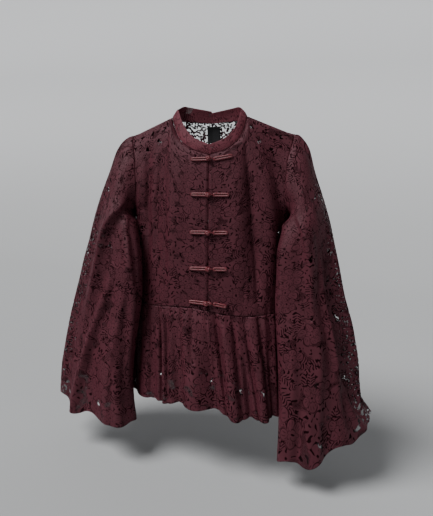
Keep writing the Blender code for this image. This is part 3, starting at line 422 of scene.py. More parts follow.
def sleeve_plain(side, turn, down):
    """Sleeve without folds, from the armhole (0) to the hem (1)."""
    turn, down = np.broadcast_arrays(np.asarray(turn, float), np.asarray(down, float))
    rows = SLEEVE_LEFT if side > 0 else SLEEVE_RIGHT
    start = armhole(side, turn)
    start[..., 0] *= side
    start -= sleeve_tube(rows, turn, np.zeros_like(down))
    fade = 1.0 - smooth_step(0.0, 0.16, down)
    point = sleeve_tube(rows, turn, down) + start * fade[..., None]
    point[..., 0] *= side
    return point


def beside(turn, centre, width):
    """1 on a line down the sleeve, fading out to both sides of it."""
    return np.exp(-((turn % 1.0 - centre) / width) ** 2)


def sleeve_folded(side):
    """Sleeve with its folds, cap gathers and hem waves, as a surface of the shares turn and down."""
    outward = -side

    def plain(turn, down):
        return sleeve_plain(side, turn, down)

    def folded(turn, down):
        turn, down = np.broadcast_arrays(np.asarray(turn, float), np.asarray(down, float))
        chosen = SLEEVE_FOLDS["side"] == side
        relief = np.zeros(turn.shape)
        for shift in (-1.0, 0.0, 1.0):
            relief += fold_relief(SLEEVE_FOLDS, "turn", turn + shift, down, chosen)
        around = turn * 2 * np.pi
        uneven = unevenness(np.cos(around), 1.6 * down + np.sin(around), 4.0 + side)
        relief += 0.0011 * uneven * smooth_step(0.02, 0.2, down)
        relief *= 1.0 - 0.75 * beside(turn, INNER_TURN, 0.06)
        from_top = (turn + 0.5) % 1.0 - 0.5
        over_cap = np.exp(-(from_top / 0.17) ** 4)
        gather = np.cos(2 * np.pi * CAP_GATHERS * from_top / 0.5) * over_cap
        relief += CAP_GATHER_DEPTH * gather * smooth_step(0.0, 0.03, down) * smooth_step(0.17, 0.05, down)
        fine = np.cos(2 * np.pi * CAP_FINE_GATHERS * from_top + 2.0 * np.sin(9.0 * from_top)) * over_cap
        relief += CAP_FINE_DEPTH * fine * smooth_step(0.0, 0.012, down) * smooth_step(0.085, 0.02, down)
        wave = np.sin(2 * np.pi * HEM_WAVES * turn + 1.3 + side + 1.1 * np.sin(2 * around + side))
        ragged = wave * smooth_step(0.70, 1.0, down) * (1 - beside(turn, INNER_TURN, 0.05))
        relief += HEM_WAVE_OUT * ragged
        point = plain(turn, down) + normals(plain, turn, down, outward, -9.0, 9.0) * relief[..., None]
        point[..., 2] += HEM_WAVE_UP * ragged * down ** 6
        start = OVERLAP_START_LEFT if side > 0 else OVERLAP_START_RIGHT
        overlap = beside(turn, OVERLAP_TURN, OVERLAP_WIDTH) * smooth_step(start, start + OVERLAP_RUN, down)
        point[..., 0] -= side * (OVERLAP_IN - OVERLAP_EASE * smooth_step(0.5, 1.0, down)) * overlap
        point[..., 1] -= OVERLAP_FORWARD * overlap
        if side < 0:
            tucked = UNDER_ARM_IN * beside(turn, UNDER_ARM_TURN, UNDER_ARM_WIDTH)
            point[..., 0] += tucked * smooth_step(0.02, 0.06, down) * smooth_step(0.18, 0.11, down)
        for row in np.nonzero(HEM_LIFTS["side"] == side)[0]:
            near = beside(turn, HEM_LIFTS["turn"][row], HEM_LIFTS["width"][row])
            point[..., 2] += HEM_LIFTS["rise"][row] * near * down ** 8
        return point

    return folded, outward


print("folds and creases in the sleeves:", len(SLEEVE_FOLDS["side"]))

# %% [markdown]
# ## The peplum
# A peplum is a straight strip, about a third longer than the waist, drawn up on a thread and sewn on. The
# gathers are tight and small at the seam, and open into broad folds with narrow valleys lower down. A few
# of the valleys are much deeper than the rest, and those are what you notice first, so they have a
# table of their own.

# %% Sizes of the peplum and the peplum as a surface
PEPLUM_LENGTH = 0.181
PEPLUM_FOLDS = 15
HEM_SHIFT_X = 0.020
DEEP_VALLEYS = table(
    "turn_high turn_low high low depth width",
    (0.9140, 0.9160, -0.20, 0.97, -0.0085, 0.0045),
    (0.8990, 0.8990, -0.30, 1.02, -0.0130, 0.0045),
    (0.8700, 0.8660, -0.30, 0.80, -0.0050, 0.0040),
    (0.0180, 0.0110, -0.30, 1.02, -0.0150, 0.0055),
    (0.0430, 0.0440, -0.25, 1.00, -0.0110, 0.0050),
    (0.0860, 0.0680, -0.30, 1.00, -0.0090, 0.0045),
    (0.1120, 0.1060, -0.20, 1.00, -0.0100, 0.0050),
    (0.1450, 0.1650, -0.20, 1.00, -0.0060, 0.0045),
    (0.9420, 0.9480, -0.20, 0.70, -0.0045, 0.0040),
    (0.9650, 0.9700, 0.30, 0.96, -0.0040, 0.0035),
    (0.3600, 0.3640, -0.20, 0.94, -0.0070, 0.0045),
    (0.4420, 0.4380, -0.20, 0.96, -0.0085, 0.0050),
    (0.5350, 0.5400, -0.20, 0.92, -0.0075, 0.0045),
    (0.6250, 0.6200, -0.20, 0.95, -0.0070, 0.0045),
)


def waist_point(turn):
    """Point of the waist seam; turn 0 is centre front, 0.25 the wearer's left side, 0.5 the back."""
    turn = turn % 1.0
    side = np.where(turn <= 0.5, 1.0, -1.0)
    half = np.where(turn <= 0.5, turn, 1.0 - turn) * 4.0
    face = np.where(half <= 1.0, -1.0, 1.0)
    across = np.where(half <= 1.0, half, 2.0 - half)
    return bodice(side, face, across, np.zeros_like(across))


def fold_wave(phase):
    """Broad rounded ridges between narrow valleys."""
    return 2.0 * np.sqrt(np.cos(phase / 2.0) ** 2 + 0.03) - 1.25


def peplum(turn, down):
    """Gathered peplum from the waist seam (0) to the hem (1)."""
    turn, down = np.broadcast_arrays(np.asarray(turn, float), np.asarray(down, float))
    e = 2e-3
    along = waist_point(turn + e) - waist_point(turn - e)
    out = np.stack([along[..., 1], -along[..., 0], np.zeros_like(turn)], -1)
    out /= np.linalg.norm(out, axis=-1, keepdims=True)
    angle = 2.0 * np.pi * turn
    flare_ends = 0.026 * np.abs(np.cos(angle)) ** 2
    flare_sides = np.where(np.sin(angle) < 0.0, 0.009, 0.001) * np.abs(np.sin(angle)) ** 2
    flare = (flare_sides + flare_ends) * down + 0.003 * smooth_step(0.0, 0.15, down)
    drift = 0.10 * np.sin(2 * angle + 0.6) + 0.05 * np.sin(5 * angle + 2.0)
    phase = PEPLUM_FOLDS * (angle + drift * np.sqrt(np.abs(np.sin(angle / 2.0)))) + np.pi
    size = 1.0 + 0.30 * np.sin(3 * angle + 1.0)
    room = 0.20 + 0.80 * np.abs(np.cos(angle)) ** 1.4
    fold = fold_wave(phase) * (0.0012 + 0.0105 * smooth_step(0.0, 0.9, down)) * size * room
    gather = np.cos(2.0 * phase + 0.8) * 0.0022 * room * smooth_step(0.62, 0.0, down)
    small = np.cos(5.0 * phase + 1.5 * np.sin(7 * angle)) * 0.0009 * smooth_step(0.30, 0.0, down)
    small += 0.0008 * unevenness(3 * np.cos(angle), 3 * np.sin(angle) + down, 1.0)
    small *= (0.4 + 0.6 * room) * smooth_step(0.0, 0.04, down)
    deep = np.zeros(turn.shape)
    for shift in (-1.0, 0.0, 1.0):
        deep += fold_relief(DEEP_VALLEYS, "turn", turn + shift, 1.0 - down)
    point = waist_point(turn) + out * (flare + fold + gather + small + deep)[..., None]
    point[..., 0] += HEM_SHIFT_X * down * np.maximum(np.cos(angle), 0.0) ** 2
    hem = 0.0035 * np.sin(2 * angle + 1.1) + 0.25 * fold
    side_drop = 0.011 * np.sin(angle) ** 2
    point[..., 2] -= (PEPLUM_LENGTH + side_drop + hem) * down
    return point


# %% [markdown]
# ## The collar
# The collar is a doubled band standing on the neckline. It is lowest at the centre back and rises to two
# peaks beside the shoulder seams, where it leans in towards the neck.

# %% Sizes of the collar and the collar as a surface
COLLAR_THICKNESS = 0.0016
COLLAR = table(
    "turn rise_right rise_left lean",
    (0.00, 0.021, 0.021, 0.000),
    (0.33, 0.024, 0.023, 0.004),
    (0.67, 0.028, 0.024, 0.010),
    (1.00, 0.018, 0.017, 0.012),
    (1.45, 0.032, 0.028, 0.006),
    (2.00, 0.026, 0.023, 0.004),
)


def collar(turn, up):
    """Stand collar; turn runs from the wearer's right front edge (-2) over the back (0) to +2."""
    turn, up = np.broadcast_arrays(np.asarray(turn, float), np.asarray(up, float))
    side = np.where(turn < 0.0, -1.0, 1.0)
    place = 2.0 - np.abs(turn)
    face = np.where(place < 1.0, -1.0, 1.0)
    across = np.where(place < 1.0, place * NECK_SHARE_FRONT, (2.0 - place) * NECK_SHARE_BACK)
    foot = bodice(side, face, across, np.ones_like(across))
    rise = np.where(
        side < 0, read(COLLAR, "turn", "rise_right", place), read(COLLAR, "turn", "rise_left", place))
    lean = read(COLLAR, "turn", "lean", place)
    inward = np.stack([CENTRE_X - foot[..., 0], -foot[..., 1], np.zeros_like(turn)], -1)
    inward /= np.linalg.norm(inward, axis=-1, keepdims=True)
    bow = 0.0012 * np.sin(np.pi * up) + 0.0005 * unevenness(turn, 0.6 * up, 5.0) * np.sin(np.pi * up)
    point = foot + inward * (lean * up - bow)[..., None]
    point[..., 2] += rise * up - 0.0004 * (1.0 - up)
    return point


waist_seam = waist_point(np.linspace(0.0, 1.0, 201))
print("waist seam %.0f mm round" % (1000 * np.linalg.norm(np.diff(waist_seam, axis=0), axis=1).sum()))

# %% [markdown]
# ## From a surface to a sheet
# So far we only have surfaces. A sheet of cloth has two faces, a little apart, joined along every edge.
# We lay a grid over the surface, copy it inwards by the thickness and close the rims. The grid also gets a
# UV map measured in **millimetres along the cloth**, so a flower that is 30 mm wide in the material comes
# out 30 mm wide on the shirt, whatever the shape of the piece.

# %% Grids that follow the cloth
GRID_STEP = 0.0029
HEM_WIDTH = 8.0
HEM_STEP = 0.00035
HEM_ROUND = 0.0002
FRONT_GROOVE = 0.0026
SEAM_DIP = 0.0004
GAP_WIDTH = 0.0044
GAP_HEIGHT = 0.0062


def lengths(points):
    """Distance along a line of points, in millimetres."""
    return np.concatenate([[0.0], np.cumsum(np.linalg.norm(np.diff(points, axis=0), axis=1))]) * 1000.0


def even_shares(line, low, high, step=GRID_STEP, close_to_start=(), close_to_end=()):
    """Shares that cut a line over the cloth into equal steps, and extra ones near its ends (in mm)."""
    fine = np.linspace(low, high, 1201)
    along = lengths(line(fine))
    even = np.linspace(0.0, along[-1], max(4, int(round(along[-1] / (1000.0 * step)))) + 1)
    extra = np.array([*close_to_start, *(along[-1] - np.array(close_to_end))])
    if len(extra):
        far = np.min(np.abs(even[:, None] - extra[None, :]), axis=1) > 0.45
        far[[0, -1]] = True
        even = np.sort(np.concatenate([even[far], extra]))
    return np.interp(even, along, fine)


def along_u(surface, v):
    """A line over the cloth at one share v."""
    return lambda shares: surface(shares, np.full(len(shares), v))


def along_v(surface, u):
    """A line over the cloth at one share u."""
    return lambda shares: surface(np.full(len(shares), u), shares)


def gap_outlines(us, vs, surface, chosen, width=GAP_WIDTH, height=GAP_HEIGHT):
    """Leaf-shaped gaps in chosen cells of a coarse grid: centre, half sizes and lean, as shares."""
    us, vs, gaps = np.array(us), np.array(vs), []
    for i in range(len(us) - 1):
        for j in range(len(vs) - 1):
            if not chosen(i, j):
                continue
            du, dv = us[i + 1] - us[i], vs[j + 1] - vs[j]
            here = surface(us[[i, i + 1, i, i + 1]], vs[[j, j, j + 1, j + 1]])
            wide = (np.linalg.norm(here[1] - here[0]) + np.linalg.norm(here[3] - here[2])) / 2
            tall = (np.linalg.norm(here[2] - here[0]) + np.linalg.norm(here[3] - here[1])) / 2
            half_u = min(0.36, width / wide / 2)
            half_v = min(0.36, height / tall / 2)
            turn = i * 2 + j * 3
            middle = 0.5 + 0.25 * (0.5 - half_v) * ((turn % 3) - 1)
            lean = 0.30 * half_v * (1 if turn % 2 else -1)
            gaps.append((us[i] + 0.5 * du, vs[j] + middle * dv, half_u * du, 0.9 * half_v * dv, lean * dv))
    return gaps


def open_gaps(u, v, gaps):
    """Mark the cells that stay open, and move the points beside them onto the gaps' outlines."""
    keep = np.ones((u.shape[0] - 1, u.shape[1] - 1), bool)
    u, v = u.copy(), v.copy()
    for centre_u, centre_v, half_u, half_v, lean in gaps:
        i0, i1 = np.searchsorted(u[:, 0], [centre_u - 1.6 * half_u, centre_u + 1.6 * half_u])
        j0, j1 = np.searchsorted(v[0], [centre_v - 1.8 * half_v, centre_v + 1.8 * half_v])
        i0, i1 = max(i0 - 1, 1), min(i1 + 1, u.shape[0] - 1)
        j0, j1 = max(j0 - 1, 1), min(j1 + 1, u.shape[1] - 1)
        part = np.s_[i0:i1, j0:j1]
        a = (u[part] - centre_u) / half_u
        b = (v[part] - centre_v - lean * a) / half_v
        middle_a = (a[1:, 1:] + a[:-1, :-1]) / 2
        middle_b = (b[1:, 1:] + b[:-1, :-1]) / 2
        inside = middle_a ** 2 + middle_b ** 2 < 1.0
        if not inside.any():
            continue
        keep[i0:i1 - 1, j0:j1 - 1] &= ~inside
        touched = np.zeros(a.shape, bool)
        for di in (0, 1):
            for dj in (0, 1):
                touched[di:a.shape[0] - 1 + di, dj:a.shape[1] - 1 + dj] |= inside
        radius = np.maximum(np.hypot(a, b), 1e-6)
        a, b = np.where(touched, a / radius, a), np.where(touched, b / radius, b)
        u[part], v[part] = centre_u + half_u * a, centre_v + lean * a + half_v * b
    return u, v, keep


def openwork(u, v, gaps, spread=2.2):
    """How open the net is: 1 at a gap, fading out around it."""
    field = np.zeros(u.shape)
    for centre_u, centre_v, half_u, half_v, lean in gaps:
        a = (u - centre_u) / half_u
        b = (v - centre_v - lean * a) / half_v
        field = np.maximum(field, np.exp(-(a * a + b * b) / spread ** 2))
    return field


def edge_relief(distance, kind):
    """How far the cloth stands out near an edge: a folded hem is thicker, a seam pulls in."""
    if kind == "seam":
        return -SEAM_DIP * np.exp(-(distance / 1.5) ** 2)
    turned = HEM_STEP * smooth_step(HEM_WIDTH + 0.7, HEM_WIDTH - 0.1, distance)
    if kind == "hem":
        return turned - HEM_ROUND * smooth_step(1.2, 0.0, distance)
    return turned - FRONT_GROOVE * np.exp(-(distance / 2.2) ** 2)


# %% Making a sheet
made = {}


def show(name, data):
    """Put a mesh, a light or a camera in the scene, at the origin."""
    thing = bpy.data.objects.new(name, data)
    bpy.context.scene.collection.objects.link(thing)
    return thing


def dense_lace(u, v):
    """Lace with no open net of its own."""
    return 0.0 * u


def cloth_sheet(name, surface, us, vs, outward, uv_row, uv_column, edges=(), gaps=(), closed=False,
                thickness=LACE_THICKNESS, rounded=False, uv_start=(0.0, 0.0), net=dense_lace):
    """A thin closed sheet on a surface. Edges name what happens along start_u, end_u, start_v and end_v."""
    grid_u, grid_v = np.meshgrid(us, vs, indexing="ij")
    u_mm, v_mm = lengths(along_u(surface, uv_row)(us)), lengths(along_v(surface, uv_column)(vs))
    moved_u, moved_v, keep = open_gaps(grid_u, grid_v, gaps)
    rows, columns = len(us) - 1 if closed else len(us), len(vs)
    openness = np.maximum(openwork(grid_u, grid_v, gaps), net(grid_u, grid_v))[:rows].reshape(-1)
    flat = surface(grid_u, grid_v)
    padded = flat
    if closed:
        padded = np.concatenate([flat[-2:-1], flat, flat[1:2]])
    du, dv = np.gradient(padded, axis=0), np.gradient(padded, axis=1)
    normal = np.cross(du, dv) * outward
    normal /= np.linalg.norm(normal, axis=-1, keepdims=True)
    if closed:
        normal = normal[1:-1]
    relief = np.zeros(grid_u.shape)
    distances = {"start_u": u_mm[:, None], "end_u": (u_mm[-1] - u_mm)[:, None],
                 "start_v": v_mm[None, :], "end_v": (v_mm[-1] - v_mm)[None, :]}
    for edge, kind in dict(edges).items():
        relief = relief + edge_relief(distances[edge], kind)
    outer = surface(moved_u, moved_v) + normal * relief[..., None]
    inner = outer - normal * thickness
    if rounded:
        near = np.minimum(np.minimum(distances["start_u"], distances["end_u"]), distances["end_v"])
        turned = normal * (thickness * 0.42 * np.exp(-(near / 0.6) ** 2))[..., None]
        outer, inner = outer - turned, inner + turned

    place = np.arange(len(us)) % rows
    index = place[:, None] * columns + np.arange(columns)[None, :]
    count = rows * columns
    i, j = np.nonzero(keep)
    corner_i = np.stack([i, i + 1, i + 1, i], 1)
    corner_j = np.stack([j, j, j + 1, j + 1], 1)
    out_faces = index[corner_i, corner_j]
    faces = [out_faces, out_faces[:, ::-1] + count]
    corners = [(corner_i, corner_j), (corner_i[:, ::-1], corner_j[:, ::-1])]
    rim = np.zeros((len(us) + 1, columns + 1), bool)
    rim[1:-1, 1:-1] = keep
    if closed:
        rim[0, 1:-1], rim[-1, 1:-1] = keep[-1], keep[0]
    for step_i, step_j, first, second in ((-1, 0, (0, 1), (0, 0)), (1, 0, (1, 0), (1, 1)),
                                          (0, -1, (0, 0), (1, 0)), (0, 1, (1, 1), (0, 1))):
        lone = ~rim[i + 1 + step_i, j + 1 + step_j]
        ai, aj, bi, bj = i[lone] + first[0], j[lone] + first[1], i[lone] + second[0], j[lone] + second[1]
        a, b = index[ai, aj], index[bi, bj]
        faces.append(np.stack([b, a, a + count, b + count], 1))
        corners.append((np.stack([bi, ai, ai, bi], 1), np.stack([bj, aj, aj, bj], 1)))
    faces = np.concatenate(faces)
    corner_i, corner_j = (np.concatenate([c[k] for c in corners]) for k in (0, 1))
    if outward < 0:
        faces, corner_i, corner_j = faces[:, ::-1], corner_i[:, ::-1], corner_j[:, ::-1]

    points = np.concatenate([outer[:rows].reshape(-1, 3), inner[:rows].reshape(-1, 3)])
    used, faces = np.unique(faces, return_inverse=True)
    faces = faces.reshape(-1, 4)
    mesh = bpy.data.meshes.new(name)
    mesh.from_pydata(points[used], [], faces.tolist())
    mesh.polygons.foreach_set("use_smooth", np.ones(len(faces), bool))
    attribute = mesh.attributes.new("openwork", "FLOAT", "POINT")
    attribute.data.foreach_set("value", np.tile(openness, 2)[used])
    uv = mesh.uv_layers.new(name="cloth_mm")
    spread_u = np.interp(moved_u, us, u_mm) + uv_start[0]
    spread_v = np.interp(moved_v, vs, v_mm) + uv_start[1]
    uv_points = np.stack([spread_u[corner_i, corner_j], spread_v[corner_i, corner_j]], -1)
    uv.data.foreach_set("uv", uv_points.reshape(-1).astype(np.float32))
    made[name] = {"piece": show(name + "_cloth", mesh), "outer": outer, "normal": normal}
    area = sum(polygon.area for polygon in mesh.polygons) / 2
    print("%-22s %6d faces, %4.0f x %4.0f mm, %.4f m2" % (name, len(faces), u_mm[-1], v_mm[-1], area))


# %% [markdown]
# ## Cutting the pieces
# Now each piece is cut: two fronts, the back, the collar, three peplum pieces and two sleeves. A few
# larger gaps in the lace go right through the cloth. A short rule for each piece picks the cells of its
# grid that stay open. At the back yoke and down the outer side of the sleeves the net between the flowers
# is open too, so light shows through.

# %% Bodice and collar
FRONT_COLUMNS = (0.0, 0.08, 0.17, 0.25, 0.32, 0.38, 0.44, 0.53, 0.62, 0.71, 0.80, 0.88, 0.95, 1.0)
BACK_COLUMNS = (0.0, 0.10, 0.20, 0.30, 0.38, 0.46, 0.54, 0.62, 0.71, 0.80, 0.88, 0.95, 1.0)
ROW_HEIGHTS = (-0.386, -0.345, -0.300, -0.255, -0.216, -0.201, -0.188, -0.162, -0.128, -0.094, -0.064, -0.046,
               -0.038)
FRONT_START = 0.0006
HEM_STEPS = (1.0, HEM_WIDTH - 0.1, HEM_WIDTH + 0.7)
YOKE_OPENNESS = 0.55
SEWN_ROUND = {"start_u": "seam", "end_u": "seam", "start_v": "seam", "end_v": "seam"}
bodice_rows = [(height - WAIST_Z) / (SHOULDER_TIP[2] - WAIST_Z) for height in ROW_HEIGHTS]
for side, name in ((1, "front_left"), (-1, "front_right")):
    surface, outward = bodice_folded(side, -1)
    gaps = gap_outlines(FRONT_COLUMNS, bodice_rows, surface, lambda i, j: (
        (j == 10 and i in (6, 8, 10)) or (j == 9 and i in (7, 9)) or (j in (1, 3) and i in (4, 9))))
    us = even_shares(along_u(surface, 0.5), FRONT_START, 1.0, close_to_start=HEM_STEPS)
    vs = even_shares(along_v(surface, 0.5), 0.0, 1.0)
    cloth_sheet(name, surface, us, vs, outward, 0.5, 0.5, gaps=gaps, edges={**SEWN_ROUND, "start_u": "front"},
                uv_start=(40.0 + 170.0 * side, 12.0 * side))


def yoke_net(u, v):
    """Open net in the yoke below the back of the collar."""
    return YOKE_OPENNESS * smooth_step(0.80, 0.88, v) * np.exp(-(u / 0.55) ** 4)


back_columns = [-share for share in reversed(BACK_COLUMNS[1:])] + list(BACK_COLUMNS)
gaps = gap_outlines(back_columns, bodice_rows, back_folded, lambda i, j: (
    (j in (10, 11) and 7 <= i <= 16) or (j == 9 and i % 2 == 0 and 4 <= i <= 19)
    or (j in (1, 3, 7) and i % 5 == j % 3 + 1 and 2 <= i <= 21)))
us = even_shares(along_u(back_folded, 0.5), -1.0, 1.0)
vs = even_shares(along_v(back_folded, 0.3), 0.0, 1.0)
cloth_sheet("back", back_folded, us, vs, -1, 0.5, 0.3, gaps=gaps, uv_start=(700.0, 0.0),
            edges=SEWN_ROUND, net=yoke_net)

us = even_shares(along_u(collar, 0.0), -2.0, 2.0, 0.0022, (0.3, 0.8), (0.3, 0.8))
vs = even_shares(along_v(collar, 0.2), 0.0, 1.0, 0.0020, (), (0.3, 0.8))
cloth_sheet("collar", collar, us, vs, -1, 0.0, 0.2, thickness=COLLAR_THICKNESS, rounded=True,
            uv_start=(0.0, 900.0), edges={"start_v": "seam"})

# %% Peplum
PEPLUM_GAP = {"width": 0.0022, "height": 0.0040}
UV_TURN = 0.11
FRONT_INSET = 0.0001
PEPLUM_ROWS = (0.0, 0.05, 0.14, 0.28, 0.45, 0.63, 0.82, 1.0)
for name, start, stop, count, front_edge in (
        ("peplum_front_left", 0.0, 0.25, 30, "start_u"),
        ("peplum_front_right", -0.25, 0.0, 30, "end_u"),
        ("peplum_back", 0.25, 0.75, 54, "")):
    gaps = gap_outlines(np.linspace(start, stop, count + 1), PEPLUM_ROWS, peplum, lambda i, j: (
        j in (4, 5) and i % 6 == (2 if j == 4 else 5)), **PEPLUM_GAP)
    edges = {**SEWN_ROUND, "end_v": "hem"}
    low, high = start, stop
    if front_edge:
        edges[front_edge] = "front"
        low, high = (start + FRONT_INSET, stop) if front_edge == "start_u" else (start, stop - FRONT_INSET)
    us = even_shares(along_u(peplum, 0.7), low, high, 0.0026)
    vs = even_shares(along_v(peplum, start + UV_TURN), 0.0, 1.0, 0.0032, (), HEM_STEPS)
    cloth_sheet(name, peplum, us, vs, 1, 0.95, start + UV_TURN, gaps=gaps, edges=edges,
                uv_start=(900.0 * start, 420.0))

# %% Sleeves
SLEEVE_ROWS = (0.0, 0.025, 0.06, 0.10, 0.17, 0.25, 0.34, 0.44, 0.54, 0.64, 0.74, 0.83, 0.92, 1.0)
HALF_TURNS = (0.0, 0.0227, 0.0454, 0.0681, 0.0908, 0.1135, 0.1362, 0.160, 0.185, 0.212, 0.242, 0.275, 0.31,
              0.345, 0.38, 0.42, 0.46, 0.5)
STRIP_OPENNESS = 0.50
STRIP_TURN = 1.03


def open_on_sleeve(i, j):
    """Cells that stay open: two in each row on the outer half, and one nearer the body in some rows."""
    return (j >= 4 and i in ((2, 5) if j % 2 else (3, 7))) or (j in (6, 8, 10, 12) and i == 12)


def strip_net(u, v):
    """Open net in a strip down the outer side of the sleeve."""
    return STRIP_OPENNESS * np.exp(-((u - STRIP_TURN) / 0.13) ** 4) * smooth_step(0.14, 0.26, v)


front_turns = [1.0 + turn for turn in HALF_TURNS]
back_turns = [1.0 - turn for turn in reversed(HALF_TURNS)]
for side, name in ((1, "sleeve_left"), (-1, "sleeve_right")):
    surface, outward = sleeve_folded(side)
    gaps = gap_outlines(front_turns, SLEEVE_ROWS, surface, open_on_sleeve)
    gaps += gap_outlines(
        back_turns, SLEEVE_ROWS, surface, lambda i, j: open_on_sleeve(len(back_turns) - 2 - i, j))
    us = even_shares(along_u(surface, 0.5), 0.5, 1.5, 0.0030)
    vs = even_shares(along_v(surface, 0.9), 0.0, 1.0, 0.0030, (), HEM_STEPS)
    cloth_sheet(name, surface, us, vs, outward, 0.6, 1.1, gaps=gaps, closed=True, net=strip_net,
                uv_start=(0.0, 1300.0 + 300.0 * side), edges={"start_v": "seam", "end_v": "hem"})

# %% [markdown]
# ## Frogs and the neck label
# A frog is a fastening made of satin cord. Each half is one cord that runs out along the front, turns
# round and comes back, so it shows as a double bar. On one side the turn is a loop, on the other the
# cord ends in a ball knot that the loop holds. To lay the cords on the cloth we shoot short rays at the
# fronts and read off the point and the direction the cloth faces.

# %% Sizes of the frogs
FROGS = table(
    "z right_end left_end right_rise left_rise",
    (-0.0865, -0.026, 0.052, -0.0010, 0.0065),
    (-0.1560, -0.025, 0.047, -0.0005, 0.0005),
    (-0.2300, -0.026, 0.045, -0.0015, 0.0015),
    (-0.3010, -0.027, 0.043, -0.0020, 0.0015),
    (-0.3690, -0.028, 0.042, 0.0005, -0.0025),
)
CORD_RADIUS = 0.00195
CORD_SPREAD = 0.00215
CORD_LIFT = 0.0022
TURN_LIFT = 0.0004
LOOP_REACH = 0.0047
BAR_REACH = 0.0016
BAR_STOP = 0.0125
BALL_RADIUS = 0.0034
BALL_LIFT = 0.0084
BALL_TURNS = 3
BALL_BIGHTS = 4
BALL_CORD_RADIUS = 0.00155
NECK_CORD_RADIUS = 0.0013

# %% Laying a cord
fronts = {side: BVHTree.FromObject(made[name]["piece"], bpy.context.evaluated_depsgraph_get())
          for side, name in ((1, "front_left"), (-1, "front_right"))}


def on_front(x, z):
    """Point on the front at a width and height, and the direction the cloth faces there."""
    side = 1 if x >= CENTRE_X else -1
    hits = []
    for dx, dz in ((0.0, 0.0), (0.003, 0.0), (-0.003, 0.0), (0.0, 0.003), (0.0, -0.003)):
        reach_x = x + dx
        reach_x = max(reach_x, CENTRE_X + 0.0035) if side > 0 else min(reach_x, CENTRE_X - 0.0035)
        place, facing, _, _ = fronts[side].ray_cast(Vector((reach_x, -0.3, z + dz)), Vector((0.0, 1.0, 0.0)))
        if place is not None:
            hits.append((np.array(place), np.array(facing)))
    point = np.array([x, min(hit[0][1] for hit in hits), z])
    normal = sum(hit[1] for hit in hits)
    return point, normal / np.linalg.norm(normal)


def smooth_path(points, rounds=2):
    """Soften the corners of a path and keep its ends."""
    points = np.array(points)
    for _ in range(rounds):
        points[1:-1] = 0.25 * points[:-2] + 0.5 * points[1:-1] + 0.25 * points[2:]
    return points


def tube(points, radius, sides=12, closed=False):
    """Round cord through points, with rounded ends: vertices, faces and a UV in mm for each corner."""
    points = np.array(points)
    ahead = np.roll(points, -1, 0) - np.roll(points, 1, 0)
    if not closed:
        ahead[0], ahead[-1] = points[1] - points[0], points[-1] - points[-2]
    ahead /= np.linalg.norm(ahead, axis=1, keepdims=True)
    across = np.cross(ahead[0], (0.0, 0.0, 1.0))
    if np.linalg.norm(across) < 0.1:
        across = np.cross(ahead[0], (1.0, 0.0, 0.0))
    rings = []
    for k, direction in enumerate(ahead):
        across = across - direction * np.dot(across, direction)
        across /= np.linalg.norm(across)
        rings.append((across.copy(), np.cross(direction, across)))
    along = lengths(points)
    radii = np.full(len(points), radius)
    if not closed:
        from_end = np.minimum(along, along[-1] - along) / 1000.0
        radii = radius * np.sqrt(np.clip(1.0 - (1.0 - np.minimum(from_end / radius, 1.0)) ** 2, 0.02, 1.0))
    angles = np.arange(sides) * 2 * np.pi / sides
    verts = np.array([points[k] + radii[k] * (np.cos(a) * rings[k][0] + np.sin(a) * rings[k][1])
                      for k in range(len(points)) for a in angles])
    faces, uvs = [], []
    around = 2000.0 * np.pi * radius / sides
    whole = along[-1] + 1000.0 * np.linalg.norm(points[0] - points[-1])
    for k in range(len(points) if closed else len(points) - 1):
        after = (k + 1) % len(points)
        end = along[k + 1] if k + 1 < len(points) else whole
        for s in range(sides):
            t = (s + 1) % sides
            faces.append([k * sides + s, k * sides + t, after * sides + t, after * sides + s])
            left, right = s * around, (s + 1) * around
            uvs += [(left, along[k]), (right, along[k]), (right, end), (left, end)]
    if not closed:
        last = (len(points) - 1) * sides
        faces += [list(range(sides))[::-1], list(range(last, last + sides))]
        uvs += [(0.0, 0.0)] * sides + [(0.0, along[-1])] * sides
    return verts, faces, uvs


def joined(name, parts):
    """One object from several tubes."""
    verts, faces, uvs = [], [], []
    for part_verts, part_faces, part_uvs in parts:
        faces += [[corner + len(verts) for corner in face] for face in part_faces]
        verts += [tuple(vert) for vert in part_verts]
        uvs += part_uvs
    mesh = bpy.data.meshes.new(name)
    mesh.from_pydata(verts, [], faces)
    mesh.polygons.foreach_set("use_smooth", np.ones(len(faces), bool))
    mesh.uv_layers.new(name="cloth_mm").data.foreach_set("uv", np.array(uvs, np.float32).reshape(-1))
    return show(name + "_cord", mesh)


def cord_bar(end_x, stop_x, z, rise, turn_reach, lifts):
    """Doubled cord: out along one strand, round the turn at the middle, and back along the other."""
    direction = 1.0 if stop_x > end_x else -1.0
    strands = []
    for way in (1.0, -1.0):
        strand = []
        for share in np.linspace(0.0, 1.0, 18):
            x = end_x + (stop_x - end_x) * share
            point, normal = on_front(x, z + rise * (1.0 - share))
            close = 0.5 + 0.5 * smooth_step(0.0, 0.10, share)
            swell = 1.0 + 0.10 * smooth_step(0.72, 1.0, share)
            point = point + normal * (CORD_LIFT + lifts * smooth_step(0.75, 1.0, share))
            point[2] += way * CORD_SPREAD * close * swell
            strand.append(point)
        strands.append(strand)
    top, bottom = strands
    middle, facing = (top[-1] + bottom[-1]) / 2, on_front(stop_x, z)[1]
    half = (top[-1][2] - bottom[-1][2]) / 2
    arc = [middle + np.array([direction * turn_reach * np.sin(a), 0.0, half * np.cos(a)]) + facing * 0.0004
           for a in np.linspace(0.0, np.pi, 9)[1:-1]]
    start = [(top[0] + bottom[0]) / 2 + np.array([-direction * 0.0016, 0.0, 0.0])]
    return smooth_path(start + top + arc + bottom[::-1] + [start[0] - np.array([0.0, 0.0, 0.0009])])


